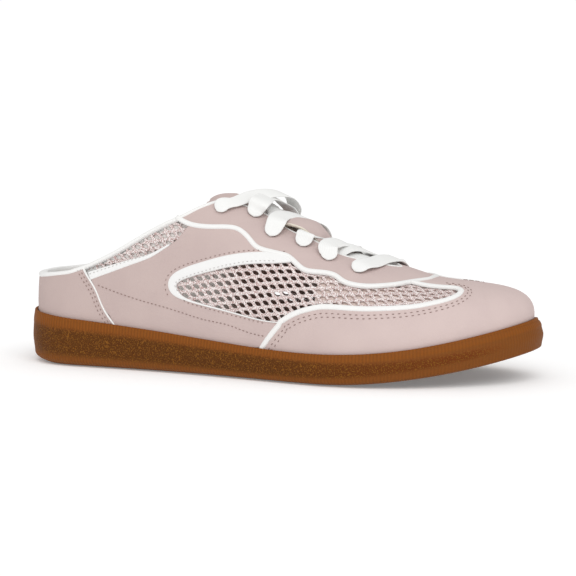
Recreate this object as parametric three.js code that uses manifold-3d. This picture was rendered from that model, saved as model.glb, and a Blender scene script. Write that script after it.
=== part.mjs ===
// A laced sneaker mule for a right foot: a rubber cup sole, a net upper with leather panels, no heel cup.
// Millimetres. +X runs from heel to toe, +Y to the big toe side, +Z up from the floor.
import * as THREE from 'three';
import { mergeVertices } from 'three/addons/utils/BufferGeometryUtils.js';
import Module from 'manifold-3d';

const wasm = await Module();
wasm.setup();

// Driving sizes of the sole
const SOLE_LENGTH = 264;
const BALL_WIDTH = 94;
const HEEL_ROUND = 34;
const TOE_ROUND = 78;
const HEEL_RIM_HEIGHT = 26.5;
const TOE_SPRING = 14;
const HEEL_BEVEL = 1.6;
const CUP_DEPTH = 6;
const LIP_THICKNESS = 1.6;
const LIP_SETBACK = 0.9;
const TOE_FLARE = 1.6;
const SOLE_CORNER = 5;
const LIP_GROOVE = 0.6;

// Driving sizes of the upper
const INSTEP_HEIGHT = 87;
const SIDE_BULGE = 2;
const LEATHER = 1.2;
const NET_WALL = 1.5;
const TRIM_PROUD = 0.6;
const TOE_PIPING_WIDTH = 2.8;
const EYESTAY_PIPING_WIDTH = 2.6;
const COUNTER_PIPING_WIDTH = 1.4;
const WINDOW_TAPE_WIDTH = 6;
const REAR_TAPE_WIDTH = 4.2;
const BINDING_HEIGHT = 2.6;
const THROAT_BINDING_HEIGHT = 1.4;
const BINDING_TUCK = 0.4;
const EYELET_RADIUS = 2.2;

// Driving sizes of the loose parts
const INSOLE_THICKNESS = 4.5;
const TONGUE_THICKNESS = 2.2;
const TONGUE_LIFT = 2.4;
const KEEPER_WIDTH = 14;
const KEEPER_THICKNESS = 1.3;
const KEEPER_RISE = 3.3;
const LACE_WIDTH = 7.5;
const LACE_THICKNESS = 1.2;
const LACE_SLACK = 11;

// Clearance between neighbouring pieces
const GAP = 0.3;

const LATERAL = -1;
const MEDIAL = 1;

// Plan of the sole: centre line and half width as shares of the ball width, at shares of the length
const PLAN = [
  { at: 0.00, centre: 0.000, half: 0.345 },
  { at: 0.15, centre: -0.005, half: 0.345 },
  { at: 0.30, centre: -0.030, half: 0.335 },
  { at: 0.42, centre: -0.055, half: 0.345 },
  { at: 0.55, centre: -0.045, half: 0.415 },
  { at: 0.66, centre: -0.015, half: 0.480 },
  { at: 0.74, centre: 0.015, half: 0.492 },
  { at: 0.85, centre: 0.060, half: 0.470 },
  { at: 1.00, centre: 0.120, half: 0.440 },
];

// Top edge of the rubber rim as a share of its height at the heel
const RIM = [
  { at: 0.00, height: 1.00 },
  { at: 0.30, height: 0.765 },
  { at: 0.62, height: 0.565 },
  { at: 0.82, height: 0.715 },
  { at: 1.00, height: 1.115 },
];

// Side of the sole from floor to rim: share of the height there, and how far it stands back from the widest line
const SOLE_SIDE = [
  { up: 0.00, back: 1.00 },
  { up: 0.05, back: 0.45 },
  { up: 0.16, back: 0.14 },
  { up: 0.42, back: 0.00 },
  { up: 0.70, back: 0.06 },
];

// Sections of the last: crest height as a share of the instep, bulge share, and reach of the side and top curves
const LAST = [
  { at: 0.13, crest: 1.195, bulge: 0.25, side: 0.46, top: 0.62 },
  { at: 0.30, crest: 1.149, bulge: 0.25, side: 0.48, top: 0.70 },
  { at: 0.42, crest: 1.000, bulge: 0.25, side: 0.50, top: 0.74 },
  { at: 0.50, crest: 0.885, bulge: 0.50, side: 0.50, top: 0.70 },
  { at: 0.58, crest: 0.782, bulge: 0.75, side: 0.52, top: 0.66 },
  { at: 0.66, crest: 0.690, bulge: 1.00, side: 0.55, top: 0.63 },
  { at: 0.74, crest: 0.615, bulge: 1.00, side: 0.58, top: 0.61 },
  { at: 0.81, crest: 0.555, bulge: 1.00, side: 0.64, top: 0.60 },
  { at: 0.89, crest: 0.531, bulge: 0.50, side: 0.75, top: 0.60 },
];
const CREST_TOE = { from: 0.70, pull: 0.11 };
const CREST_HEEL = { until: 0.30, push: 0.13 };

// Lines on the last: along is the share from heel to toe, up is 0 at the rim and 1 on the crest
const TOPLINE = [
  { along: 0.000, up: 0.160 },
  { along: 0.076, up: 0.162 },
  { along: 0.210, up: 0.200 },
  { along: 0.247, up: 0.232 },
  { along: 0.295, up: 0.302 },
  { along: 0.349, up: 0.418 },
  { along: 0.398, up: 0.553 },
  { along: 0.425, up: 0.690 },
  { along: 0.446, up: 0.830 },
];
const THROAT = [
  { along: 0.446, up: 0.830 },
  { along: 0.540, up: 0.835 },
  { along: 0.600, up: 0.855 },
  { along: 0.635, up: 0.890 },
  { along: 0.655, up: 0.945 },
  { along: 0.664, up: 1.000 },
];
const EYESTAY = [
  { along: 0.392, up: 0.541 },
  { along: 0.411, up: 0.533 },
  { along: 0.434, up: 0.564 },
  { along: 0.457, up: 0.618 },
  { along: 0.472, up: 0.645 },
  { along: 0.484, up: 0.629 },
  { along: 0.493, up: 0.598 },
  { along: 0.505, up: 0.583 },
  { along: 0.528, up: 0.606 },
  { along: 0.541, up: 0.606 },
  { along: 0.554, up: 0.568 },
  { along: 0.567, up: 0.556 },
  { along: 0.586, up: 0.586 },
  { along: 0.600, up: 0.590 },
  { along: 0.611, up: 0.561 },
  { along: 0.624, up: 0.552 },
  { along: 0.642, up: 0.568 },
  { along: 0.662, up: 0.614 },
  { along: 0.681, up: 0.685 },
  { along: 0.699, up: 0.800 },
  { along: 0.714, up: 0.920 },
  { along: 0.722, up: 1.000 },
];
// The net opening from the rear of its window, along its lower edge, round its tip and back to the eyestay
const NET_LOW = [
  { along: 0.397, up: 0.215 },
  { along: 0.402, up: 0.182 },
  { along: 0.412, up: 0.165 },
  { along: 0.430, up: 0.156 },
  { along: 0.520, up: 0.154 },
  { along: 0.540, up: 0.165 },
  { along: 0.560, up: 0.239 },
  { along: 0.581, up: 0.293 },
  { along: 0.602, up: 0.325 },
  { along: 0.641, up: 0.347 },
  { along: 0.671, up: 0.371 },
  { along: 0.703, up: 0.405 },
  { along: 0.737, up: 0.452 },
  { along: 0.768, up: 0.513 },
  { along: 0.786, up: 0.590 },
  { along: 0.792, up: 0.665 },
];
const NET_TIP = [
  { along: 0.792, up: 0.665 },
  { along: 0.786, up: 0.715 },
  { along: 0.772, up: 0.742 },
  { along: 0.751, up: 0.747 },
  { along: 0.727, up: 0.753 },
  { along: 0.705, up: 0.760 },
  { along: 0.693, up: 0.765 },
];
// Middle of the white tape over the window, from the eyestay back round its rear end, with its width as a share
const WINDOW_TAPE = [
  { along: 0.534, up: 0.570, width: 0.45 },
  { along: 0.520, up: 0.547, width: 0.75 },
  { along: 0.504, up: 0.516, width: 0.95 },
  { along: 0.482, up: 0.461, width: 1.00 },
  { along: 0.458, up: 0.396, width: 1.00 },
  { along: 0.434, up: 0.335, width: 0.95 },
  { along: 0.413, up: 0.286, width: 0.90 },
  { along: 0.399, up: 0.250, width: 0.85 },
  { along: 0.393, up: 0.220, width: 0.80 },
  { along: 0.394, up: 0.193, width: 0.68 },
  { along: 0.400, up: 0.174, width: 0.48 },
  { along: 0.409, up: 0.163, width: 0.25 },
];
const REAR_TAPE = [
  { along: 0.261, up: 0.199, width: 1.00 },
  { along: 0.300, up: 0.244, width: 0.85 },
  { along: 0.335, up: 0.288, width: 0.66 },
  { along: 0.362, up: 0.328, width: 0.44 },
  { along: 0.386, up: 0.390, width: 0.20 },
];
const REAR_NET_LOW = [
  { along: 0.266, up: 0.206 },
  { along: 0.300, up: 0.245 },
  { along: 0.335, up: 0.289 },
  { along: 0.362, up: 0.329 },
  { along: 0.386, up: 0.392 },
  { along: 0.412, up: 0.520 },
];
const COUNTER_SEAM = [
  { along: 0.247, up: 0.240 },
  { along: 0.256, up: 0.205 },
  { along: 0.278, up: 0.143 },
  { along: 0.295, up: 0.067 },
  { along: 0.306, up: 0.000 },
];
const TOE_SEAM = [
  { along: 0.516, up: 0.000 },
  { along: 0.526, up: 0.069 },
  { along: 0.540, up: 0.155 },
];

// Eyelets run from the first to the last in even steps along the shoe
const FIRST_EYELET = { at: 0.412, up: 0.725 };
const LAST_EYELET = { at: 0.694, up: 0.695 };
const EYELETS_PER_SIDE = 6;
// Lace strands from an eyelet over the tongue to a place on the other side, with their rise as a share of the slack
const LACES = {
  lace_top: [
    { from: 0, to: 2, side: LATERAL, rise: 0.72 },
    { from: 0, to: 1, side: MEDIAL, rise: 0.05 },
    { from: 1, to: 2, side: LATERAL, rise: 0.55 },
  ],
  lace_middle: [
    { from: 1, to: 2, side: MEDIAL, rise: 0.05 },
    { from: 2, to: 3, side: LATERAL, rise: 0.46 },
  ],
  lace_under_keeper: [
    { from: 3, to: 2.5, side: LATERAL, rise: -0.08 },
  ],
  lace_front: [
    { from: 4, to: 5, side: LATERAL, rise: 0.10 },
    { from: 4, to: 5, side: MEDIAL, rise: 0.06 },
    { from: 5, to: 5.3, side: LATERAL, rise: 0.04 },
  ],
};
// The tongue from its hidden front edge to its round top, and the keeper band on its ridge
const TONGUE = { front: 0.800, top: 0.392, edge: 0.62, roundFrom: 0.425, blunt: 0.35 };
const KEEPER = { from: 0.533, to: 0.606 };

// Mesh density
const STATIONS = { heel: 9, throat: 8, toe: 9 };
const ROW_SHARES = [0, 0.22, 0.42, 0.58, 0.72, 0.86, 1];

// Natural cubic spline through the rows, as a function of the key column
function spline(rows, key, value) {
  const x = rows.map((row) => row[key]);
  const y = rows.map((row) => row[value]);
  const last = x.length - 1;
  const bend = new Array(last + 1).fill(0);
  const carry = new Array(last + 1).fill(0);
  for (let i = 1; i < last; i += 1) {
    const share = (x[i] - x[i - 1]) / (x[i + 1] - x[i - 1]);
    const pivot = share * bend[i - 1] + 2;
    const jump = (y[i + 1] - y[i]) / (x[i + 1] - x[i]) - (y[i] - y[i - 1]) / (x[i] - x[i - 1]);
    bend[i] = (share - 1) / pivot;
    carry[i] = ((6 * jump) / (x[i + 1] - x[i - 1]) - share * carry[i - 1]) / pivot;
  }
  bend[last] = 0;
  for (let i = last - 1; i > 0; i -= 1) bend[i] = bend[i] * bend[i + 1] + carry[i];
  bend[0] = 0;
  return (at) => {
    const clamped = THREE.MathUtils.clamp(at, x[0], x[last]);
    let i = 0;
    while (i < last - 1 && clamped > x[i + 1]) i += 1;
    const span = x[i + 1] - x[i];
    const a = (x[i + 1] - clamped) / span;
    const b = 1 - a;
    const bow = ((a ** 3 - a) * bend[i] + (b ** 3 - b) * bend[i + 1]) * (span ** 2 / 6);
    return a * y[i] + b * y[i + 1] + bow;
  };
}

// Curve through the rows that never overshoots them, as a function of the key column
function steady(rows, key, value) {
  const x = rows.map((row) => row[key]);
  const y = rows.map((row) => row[value]);
  const last = x.length - 1;
  const chord = x.slice(1).map((end, i) => (y[i + 1] - y[i]) / (end - x[i]));
  const slope = x.map((_, i) => {
    if (i === 0) return chord[0];
    if (i === last) return chord[last - 1];
    return chord[i - 1] * chord[i] <= 0 ? 0 : (2 * chord[i - 1] * chord[i]) / (chord[i - 1] + chord[i]);
  });
  return (at) => {
    const clamped = THREE.MathUtils.clamp(at, x[0], x[last]);
    let i = 0;
    while (i < last - 1 && clamped > x[i + 1]) i += 1;
    const span = x[i + 1] - x[i];
    const t = (clamped - x[i]) / span;
    const start = (1 + 2 * t) * (1 - t) ** 2 * y[i] + t * (1 - t) ** 2 * span * slope[i];
    return start + t ** 2 * (3 - 2 * t) * y[i + 1] + t ** 2 * (t - 1) * span * slope[i + 1];
  };
}

// A line on the last as points spaced evenly by row, with any width column carried along
function line(rows, side, steps) {
  const numbered = rows.map((row, index) => ({ ...row, index }));
  const along = spline(numbered, 'index', 'along');
  const up = spline(numbered, 'index', 'up');
  const width = rows[0].width === undefined ? () => 1 : spline(numbered, 'index', 'width');
  return Array.from({ length: steps + 1 }, (_, i) => {
    const at = (i / steps) * (rows.length - 1);
    return { side, along: along(at), up: up(at), width: width(at) };
  });
}

const planCentre = spline(PLAN, 'at', 'centre');
const planHalf = spline(PLAN, 'at', 'half');
const rimShare = spline(RIM, 'at', 'height');
const crestShare = steady(LAST, 'at', 'crest');
const bulgeShare = steady(LAST, 'at', 'bulge');
const sideReach = steady(LAST, 'at', 'side');
const topReach = steady(LAST, 'at', 'top');

// Share of the length at a station, closer together at heel and toe
const stationAt = (along) => (1 - Math.cos(Math.PI * along)) / 2;
const alongOf = (at) => Math.acos(1 - 2 * at) / Math.PI;
const smooth = (value) => THREE.MathUtils.smoothstep(value, 0, 1);

const rimHeight = (at) => HEEL_RIM_HEIGHT * rimShare(at);
const cupFloor = (at) => rimHeight(at) - CUP_DEPTH;
const TOE_OFF = 0.62;
const HEEL_OFF = 0.08;
const soleBottom = (at) =>
  TOE_SPRING * Math.max(0, (at - TOE_OFF) / (1 - TOE_OFF)) ** 2
  + HEEL_BEVEL * Math.max(0, (HEEL_OFF - at) / HEEL_OFF) ** 2;

// Rounding of the plan at its ends, a superellipse quarter over a given length
const END_POWER = 2.2;
const ends = (x) => {
  const heel = Math.max(0, 1 - x / HEEL_ROUND);
  const toe = Math.max(0, 1 - (SOLE_LENGTH - x) / TOE_ROUND);
  return ((1 - heel ** END_POWER) * (1 - toe ** END_POWER)) ** (1 / END_POWER);
};

// Point of the sole's widest outline at a station, moved in by an inset along its normal
function outline(along, side, inset = 0) {
  const raw = (s) => {
    const x = SOLE_LENGTH * stationAt(s);
    return new THREE.Vector2(x, BALL_WIDTH * (planCentre(x / SOLE_LENGTH) + side * planHalf(x / SOLE_LENGTH) * ends(x)));
  };
  const step = 1e-4;
  const point = raw(along);
  const run = raw(Math.min(1, along + step)).sub(raw(Math.max(0, along - step))).normalize();
  const out = new THREE.Vector2(-run.y * side, run.x * side);
  if (along < step) out.set(-1, 0);
  if (along > 1 - step) out.set(1, 0);
  return point.addScaledVector(out, -inset);
}

// The rim's outer edge stands back from the widest line, more so at the toe
const TOE_FLARE_FROM = 0.80;
const rimSetback = (at) => LIP_SETBACK + TOE_FLARE * smooth((at - TOE_FLARE_FROM) / (1 - TOE_FLARE_FROM));
const upperInset = (at) => rimSetback(at) + LIP_THICKNESS + GAP;

const crestAt = (at) =>
  at - CREST_TOE.pull * Math.max(0, (at - CREST_TOE.from) / (1 - CREST_TOE.from)) ** 2
  + CREST_HEEL.push * Math.max(0, 1 - at / CREST_HEEL.until) ** 2;
const crestHeight = (at) => INSTEP_HEIGHT * crestShare(at);

// Point of the leather's outer face: a cubic curve from the rim to the crest, upright below the rim
function lastPoint(along, up, side) {
  const at = stationAt(along);
  const foot = outline(along, side, upperInset(at));
  const crest = crestAt(at);
  const centre = new THREE.Vector2(crest * SOLE_LENGTH, BALL_WIDTH * planCentre(crest));
  const reach = centre.distanceTo(foot);
  const inward = centre.clone().sub(foot).divideScalar(reach);
  const rise = crestHeight(crest) - rimHeight(at);
  const slope = ((crestHeight(crest + 1e-3) - crestHeight(crest - 1e-3)) / (2e-3 * SOLE_LENGTH)) * inward.x;
  const t = THREE.MathUtils.clamp(up, 0, 1);
  const near = 3 * (1 - t) ** 2 * t;
  const far = 3 * (1 - t) * t ** 2;
  const top = topReach(crest);
  const across = far * reach * (1 - top) + t ** 3 * reach - near * SIDE_BULGE * bulgeShare(crest);
  const height = near * sideReach(crest) * rise + far * (rise - top * reach * slope) + t ** 3 * rise;
  return new THREE.Vector3(
    foot.x + inward.x * across,
    foot.y + inward.y * across,
    rimHeight(at) + height + Math.min(up, 0) * (CUP_DEPTH - GAP),
  );
}

// Outward normal of that face
function lastNormal(along, up, side) {
  if (up >= 1) {
    const crest = crestAt(stationAt(along));
    const slope = (crestHeight(crest + 1e-3) - crestHeight(crest - 1e-3)) / (2e-3 * SOLE_LENGTH);
    return new THREE.Vector3(-slope, 0, 1).normalize();
  }
  const pole = along <= 0 || along >= 1;
  const used = pole ? LATERAL : side;
  const step = 1e-3;
  const lengthways = lastPoint(Math.min(1, along + step), up, used).sub(lastPoint(Math.max(0, along - step), up, used));
  const upwards = lastPoint(along, Math.min(1, up + step), used).sub(lastPoint(along, up - step, used));
  const normal = lengthways.cross(upwards).multiplyScalar(-used);
  if (pole) normal.y = 0;
  return normal.normalize();
}

const onLast = (point, height) =>
  lastPoint(point.along, point.up, point.side).addScaledVector(lastNormal(point.along, point.up, point.side), height);

// Closed solid from corner points and quads or triangles, with shared points merged and faces outwards
function solid(points, faces) {
  const positions = new Float32Array(points.flatMap((p) => [p.x, p.y, p.z]));
  let geometry = new THREE.BufferGeometry();
  geometry.setAttribute('position', new THREE.BufferAttribute(positions, 3));
  geometry.setIndex(faces.flatMap((f) => (f.length === 4 ? [f[0], f[1], f[2], f[0], f[2], f[3]] : f)));
  geometry = mergeVertices(geometry, 1e-3);
  const vertices = geometry.attributes.position.array;
  const index = Array.from(geometry.index.array);
  const kept = [];
  let volume = 0;
  const corner = (i) => new THREE.Vector3().fromArray(vertices, 3 * i);
  for (let i = 0; i < index.length; i += 3) {
    const [a, b, c] = index.slice(i, i + 3);
    if (a !== b && b !== c && c !== a) {
      kept.push([a, b, c]);
      volume += corner(a).dot(corner(b).cross(corner(c)));
    }
  }
  const turned = volume < 0 ? kept.map(([a, b, c]) => [a, c, b]) : kept;
  return new wasm.Manifold(new wasm.Mesh({
    numProp: 3,
    vertProperties: new Float32Array(vertices),
    triVerts: new Uint32Array(turned.flat()),
  }));
}

// Tube of quads through a list of rings of corner points; closed joins the last ring to the first
function rings(list, closed) {
  const count = list[0].length;
  const points = list.flat();
  const faces = [];
  const spans = closed ? list.length : list.length - 1;
  for (let i = 0; i < spans; i += 1) {
    const next = (i + 1) % list.length;
    for (let j = 0; j < count; j += 1) {
      const beside = (j + 1) % count;
      faces.push([i * count + j, next * count + j, next * count + beside, i * count + beside]);
    }
  }
  if (!closed) {
    for (let j = 1; j < count - 1; j += 1) {
      faces.push([0, j, j + 1]);
      const end = (list.length - 1) * count;
      faces.push([end, end + j + 1, end + j]);
    }
  }
  return solid(points, faces);
}

// Flat strip laid along a path on the last, with its width and the heights of its two faces at each point
function strip(path, width, low, high, closed = false) {
  const places = path.map((point) => onLast(point, 0));
  const list = path.map((point, i) => {
    const before = places[closed ? (i + path.length - 1) % path.length : Math.max(0, i - 1)];
    const after = places[closed ? (i + 1) % path.length : Math.min(path.length - 1, i + 1)];
    const normal = lastNormal(point.along, point.up, point.side);
    const beside = after.clone().sub(before).cross(normal).normalize();
    const half = width(point, i) / 2;
    const corner = (sideways, height) =>
      places[i].clone().addScaledVector(beside, sideways).addScaledVector(normal, height);
    return [
      corner(-half, low(point, i)), corner(half, low(point, i)),
      corner(half, high(point, i)), corner(-half, high(point, i)),
    ];
  });
  return rings(list, closed);
}

// Block over a grid of points on the last, between two heights that are worked out at each point
function block(grid, low, high) {
  const across = grid[0].length;
  const points = [];
  for (const height of [low, high]) {
    for (const row of grid) for (const point of row) points.push(onLast(point, height(point)));
  }
  const at = (layer, i, j) => layer * grid.length * across + i * across + j;
  const faces = [];
  for (let i = 0; i < grid.length - 1; i += 1) {
    for (let j = 0; j < across - 1; j += 1) {
      faces.push([at(0, i, j), at(0, i, j + 1), at(0, i + 1, j + 1), at(0, i + 1, j)]);
      faces.push([at(1, i, j), at(1, i + 1, j), at(1, i + 1, j + 1), at(1, i, j + 1)]);
    }
    for (const [j, turn] of [[0, false], [across - 1, true]]) {
      const wall = [at(0, i, j), at(0, i + 1, j), at(1, i + 1, j), at(1, i, j)];
      faces.push(turn ? wall.reverse() : wall);
    }
  }
  for (let j = 0; j < across - 1; j += 1) {
    for (const [i, turn] of [[0, true], [grid.length - 1, false]]) {
      const wall = [at(0, i, j), at(0, i, j + 1), at(1, i, j + 1), at(1, i, j)];
      faces.push(turn ? wall.reverse() : wall);
    }
  }
  return solid(points, faces);
}

const CORNER = TOPLINE[TOPLINE.length - 1].along;
const THROAT_END = THROAT[THROAT.length - 1].along;
const toplineUp = steady(TOPLINE, 'along', 'up');
const throatUp = steady(THROAT, 'along', 'up');
const openingUp = (along) => {
  if (along >= THROAT_END) return 1;
  return along <= CORNER ? toplineUp(along) : Math.min(1, throatUp(along));
};

// Stations that every long piece shares, so that their facets run side by side
function stationsBetween(from, to, count) {
  return Array.from({ length: count }, (_, i) => from + ((to - from) * i) / count);
}
const stations = [
  ...stationsBetween(0, CORNER, STATIONS.heel),
  ...stationsBetween(CORNER, THROAT_END, STATIONS.throat),
  ...stationsBetween(THROAT_END, 1, STATIONS.toe),
];
const columns = [
  ...stations.map((along) => ({ along, side: LATERAL })),
  { along: 1, side: LATERAL },
  ...stations.slice(1).reverse().map((along) => ({ along, side: MEDIAL })),
];

// One layer of the upper between two depths below the leather's face, from the cup floor to the opening
function layer(outer, inner) {
  const points = [];
  for (const { along, side } of columns) {
    const top = openingUp(along);
    for (const up of [-1, ...ROW_SHARES.map((share) => share * top)]) {
      for (const depth of [outer, inner]) points.push(onLast({ along, up, side }, -depth));
    }
  }
  const last = ROW_SHARES.length;
  const at = (k, j, face) => ((k % columns.length) * (last + 1) + j) * 2 + face;
  const faces = [];
  for (let k = 0; k < columns.length; k += 1) {
    for (let j = 0; j < last; j += 1) {
      faces.push([at(k, j, 0), at(k + 1, j, 0), at(k + 1, j + 1, 0), at(k, j + 1, 0)]);
      faces.push([at(k, j, 1), at(k, j + 1, 1), at(k + 1, j + 1, 1), at(k + 1, j, 1)]);
    }
    faces.push([at(k, 0, 0), at(k, 0, 1), at(k + 1, 0, 1), at(k + 1, 0, 0)]);
    const open = Math.min(columns[k].along, columns[(k + 1) % columns.length].along) < THROAT_END;
    if (open) faces.push([at(k, last, 0), at(k + 1, last, 0), at(k + 1, last, 1), at(k, last, 1)]);
  }
  return solid(points, faces);
}

// Plan outline moved in by an inset, at a height, both worked out at each station
function planLoop(inset, height) {
  return columns.map(({ along, side }) => {
    const at = stationAt(along);
    const point = outline(along, side, inset(at));
    return new THREE.Vector3(point.x, point.y, height(at));
  });
}

// Cup sole: a side that rounds out from the floor, a groove under its lip, and a cup for the upper
function outsole() {
  const LIP_FROM = 0.76;
  const LIP_ROUND = 0.8;
  const share = (up) => (at) => soleBottom(at) + (rimHeight(at) - soleBottom(at)) * up;
  const below = (distance) => (at) => rimHeight(at) - distance;
  const side = SOLE_SIDE.map(({ up, back }) => planLoop((at) => back * SOLE_CORNER * (up > 0.5 ? rimSetback(at) : 1), share(up)));
  const list = [
    ...side,
    planLoop((at) => rimSetback(at) * 0.8 + LIP_GROOVE, share(LIP_FROM - 0.03)),
    planLoop((at) => rimSetback(at) * 0.8, share(LIP_FROM)),
    planLoop(rimSetback, below(LIP_ROUND / 2)),
    planLoop((at) => rimSetback(at) + LIP_ROUND / 2, below(0)),
    planLoop((at) => rimSetback(at) + LIP_THICKNESS, below(0)),
    planLoop((at) => rimSetback(at) + LIP_THICKNESS, cupFloor),
  ];
  return capped(list);
}

// Loops stacked from floor to top, closed by strips across the first and the last
function capped(list) {
  const count = list[0].length;
  const half = count / 2;
  const faces = [];
  for (let i = 0; i < list.length - 1; i += 1) {
    for (let j = 0; j < count; j += 1) {
      const beside = (j + 1) % count;
      faces.push([i * count + j, i * count + beside, (i + 1) * count + beside, (i + 1) * count + j]);
    }
  }
  const top = (list.length - 1) * count;
  for (let i = 0; i < half; i += 1) {
    const other = (count - i) % count;
    const next = count - i - 1;
    faces.push([i, other, next, i + 1]);
    faces.push([top + i, top + i + 1, top + next, top + other]);
  }
  return solid(list.flat(), faces);
}

// Footbed inside the upper, with a rounded upper edge
function insole() {
  const EDGE_ROUND = 1.2;
  const clear = LEATHER + GAP + NET_WALL + GAP;
  const step = (extra, lift) => planLoop((at) => upperInset(at) + clear + extra, (at) => cupFloor(at) + lift);
  return capped([
    step(0, GAP),
    step(0, GAP + INSOLE_THICKNESS - EDGE_ROUND),
    step(EDGE_ROUND, GAP + INSOLE_THICKNESS),
  ]);
}

// Grid of points between two lines that share their stations, on one side of the last
function between(from, to, low, high, side, steps, rows) {
  return Array.from({ length: steps + 1 }, (_, i) => {
    const along = from + ((to - from) * i) / steps;
    return Array.from({ length: rows + 1 }, (_, j) => ({
      side, along, up: low(along) + ((high(along) - low(along)) * j) / rows,
    }));
  });
}

// The same across the crest, from a line on the lateral side to the same line on the medial side
function overCrest(from, to, low, steps, rows) {
  return Array.from({ length: steps + 1 }, (_, i) => {
    const along = from + ((to - from) * i) / steps;
    const edge = Math.min(low(along), 0.999);
    return Array.from({ length: 2 * rows + 1 }, (_, j) => {
      const share = Math.abs(j - rows) / rows;
      return { side: j <= rows ? LATERAL : MEDIAL, along, up: 1 - (1 - edge) * share };
    });
  });
}

const CUT_LOW = -(LEATHER + GAP + NET_WALL + 2);
const CUT_HIGH = TRIM_PROUD + 2;
const constant = (value) => () => value;

// The main body of a cut piece, without the offcuts
const mainBody = (piece) => piece.decompose().sort((a, b) => b.volume() - a.volume())[0];

const standing = (point) => ({ ...point, up: Math.max(-1, point.up) });

// A trim strip of a given width, flush behind the rubber lip, and the wider cut that its neighbours leave for it
function trim(path, width, proud = TRIM_PROUD) {
  const sized = (extra) => (point) => width * (point.width ?? 1) + extra;
  return {
    piece: strip(path.map(standing), sized(0), constant(GAP - LEATHER), (point) => (point.up > 0 ? proud : 0)),
    cut: strip(path, sized(2 * GAP), constant(CUT_LOW), constant(CUT_HIGH)),
  };
}

// Topline binding: a closed roll over the edges of both layers, thinner round the throat
const TOPLINE_STEPS = 15;
const THROAT_STEPS = 10;
function openingLoop() {
  const half = (side) => {
    const collar = Array.from({ length: TOPLINE_STEPS }, (_, i) => (CORNER * i) / TOPLINE_STEPS);
    const throat = line(THROAT, side, THROAT_STEPS);
    return [
      ...collar.map((along) => ({ side, along, up: toplineUp(along) })),
      ...throat.map((point) => ({ ...point, up: Math.min(1, point.up) })),
    ];
  };
  const lateral = half(LATERAL);
  const medial = half(MEDIAL).slice(1, -1).reverse();
  return [...lateral, ...medial];
}
const loop = openingLoop();
const bindingHeight = (extra) => (point) => {
  const toThroat = smooth((point.along - CORNER + 0.02) / 0.04);
  return THREE.MathUtils.lerp(BINDING_HEIGHT, THROAT_BINDING_HEIGHT, toThroat) + extra;
};
const BINDING_LOW = -(LEATHER + GAP + NET_WALL + BINDING_TUCK);
const binding = strip(loop, bindingHeight(0), constant(BINDING_LOW), constant(TRIM_PROUD / 2), true);
const bindingCut = strip(loop, bindingHeight(2 * GAP), constant(BINDING_LOW - 1), constant(CUT_HIGH), true);

// Eyelets: even along the eyestay, on a line that closes in on the throat
const eyelet = (index, side) => {
  const share = index / (EYELETS_PER_SIDE - 1);
  return {
    side,
    along: alongOf(THREE.MathUtils.lerp(FIRST_EYELET.at, LAST_EYELET.at, share)),
    up: THREE.MathUtils.lerp(FIRST_EYELET.up, LAST_EYELET.up, share),
  };
};
const EYELET_SIDES = 6;
function eyeletHole(point) {
  const centre = onLast(point, 0);
  const normal = lastNormal(point.along, point.up, point.side);
  const turn = new THREE.Quaternion().setFromUnitVectors(new THREE.Vector3(0, 0, 1), normal);
  const ring = (height) => Array.from({ length: EYELET_SIDES }, (_, i) => {
    const angle = ((i + 0.5) / EYELET_SIDES) * 2 * Math.PI;
    const around = new THREE.Vector3(Math.cos(angle), Math.sin(angle), 0).multiplyScalar(EYELET_RADIUS);
    return around.applyQuaternion(turn).add(centre).addScaledVector(normal, height);
  });
  return rings([ring(CUT_LOW), ring(CUT_HIGH)], false);
}

// Net opening of one side, and the rear net opening under the collar
const LINE_STEPS = 30;
const eyestayUp = steady(EYESTAY, 'along', 'up');
const netLow = steady(NET_LOW, 'along', 'up');
function netPolygon(side) {
  const low = line(NET_LOW, side, LINE_STEPS);
  const tip = line(NET_TIP, side, LINE_STEPS / 2).reverse();
  const tipUp = steady(tip.map(({ along, up }) => ({ along, up })), 'along', 'up');
  const tape = line(WINDOW_TAPE, side, LINE_STEPS).reverse();
  const rear = NET_LOW[0].along;
  const joint = WINDOW_TAPE[0].along;
  const over = tape.filter((point) => point.along > rear && point.up > NET_LOW[0].up);
  const tapeUp = steady(over.map(({ along, up }) => ({ along, up })), 'along', 'up');
  const meet = NET_TIP[NET_TIP.length - 1].along;
  const high = (along) => {
    if (along < joint) return Math.min(tapeUp(along), eyestayUp(along));
    return along < meet ? eyestayUp(along) : tipUp(along);
  };
  const steps = 20;
  const end = NET_LOW[NET_LOW.length - 1].along;
  const grid = [];
  for (let i = 0; i <= steps; i += 1) {
    const share = (1 - Math.cos((Math.PI * i) / steps)) / 2;
    const along = rear + (end - rear) * share;
    const bottom = netLow(along);
    const top = Math.max(high(along), bottom + 0.004);
    grid.push([bottom, (bottom + top) / 2, top].map((up) => ({ side, along, up })));
  }
  return block(grid, constant(CUT_LOW), constant(CUT_HIGH));
}
function rearNet(side) {
  const low = steady(REAR_NET_LOW, 'along', 'up');
  const from = REAR_NET_LOW[0].along;
  const to = REAR_NET_LOW[REAR_NET_LOW.length - 1].along;
  const high = (along) => Math.max(Math.min(toplineUp(along), along > EYESTAY[0].along ? eyestayUp(along) : 1), low(along) + 0.004);
  return block(between(from, to, low, high, side, 20, 2), constant(CUT_LOW), constant(CUT_HIGH));
}

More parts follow.
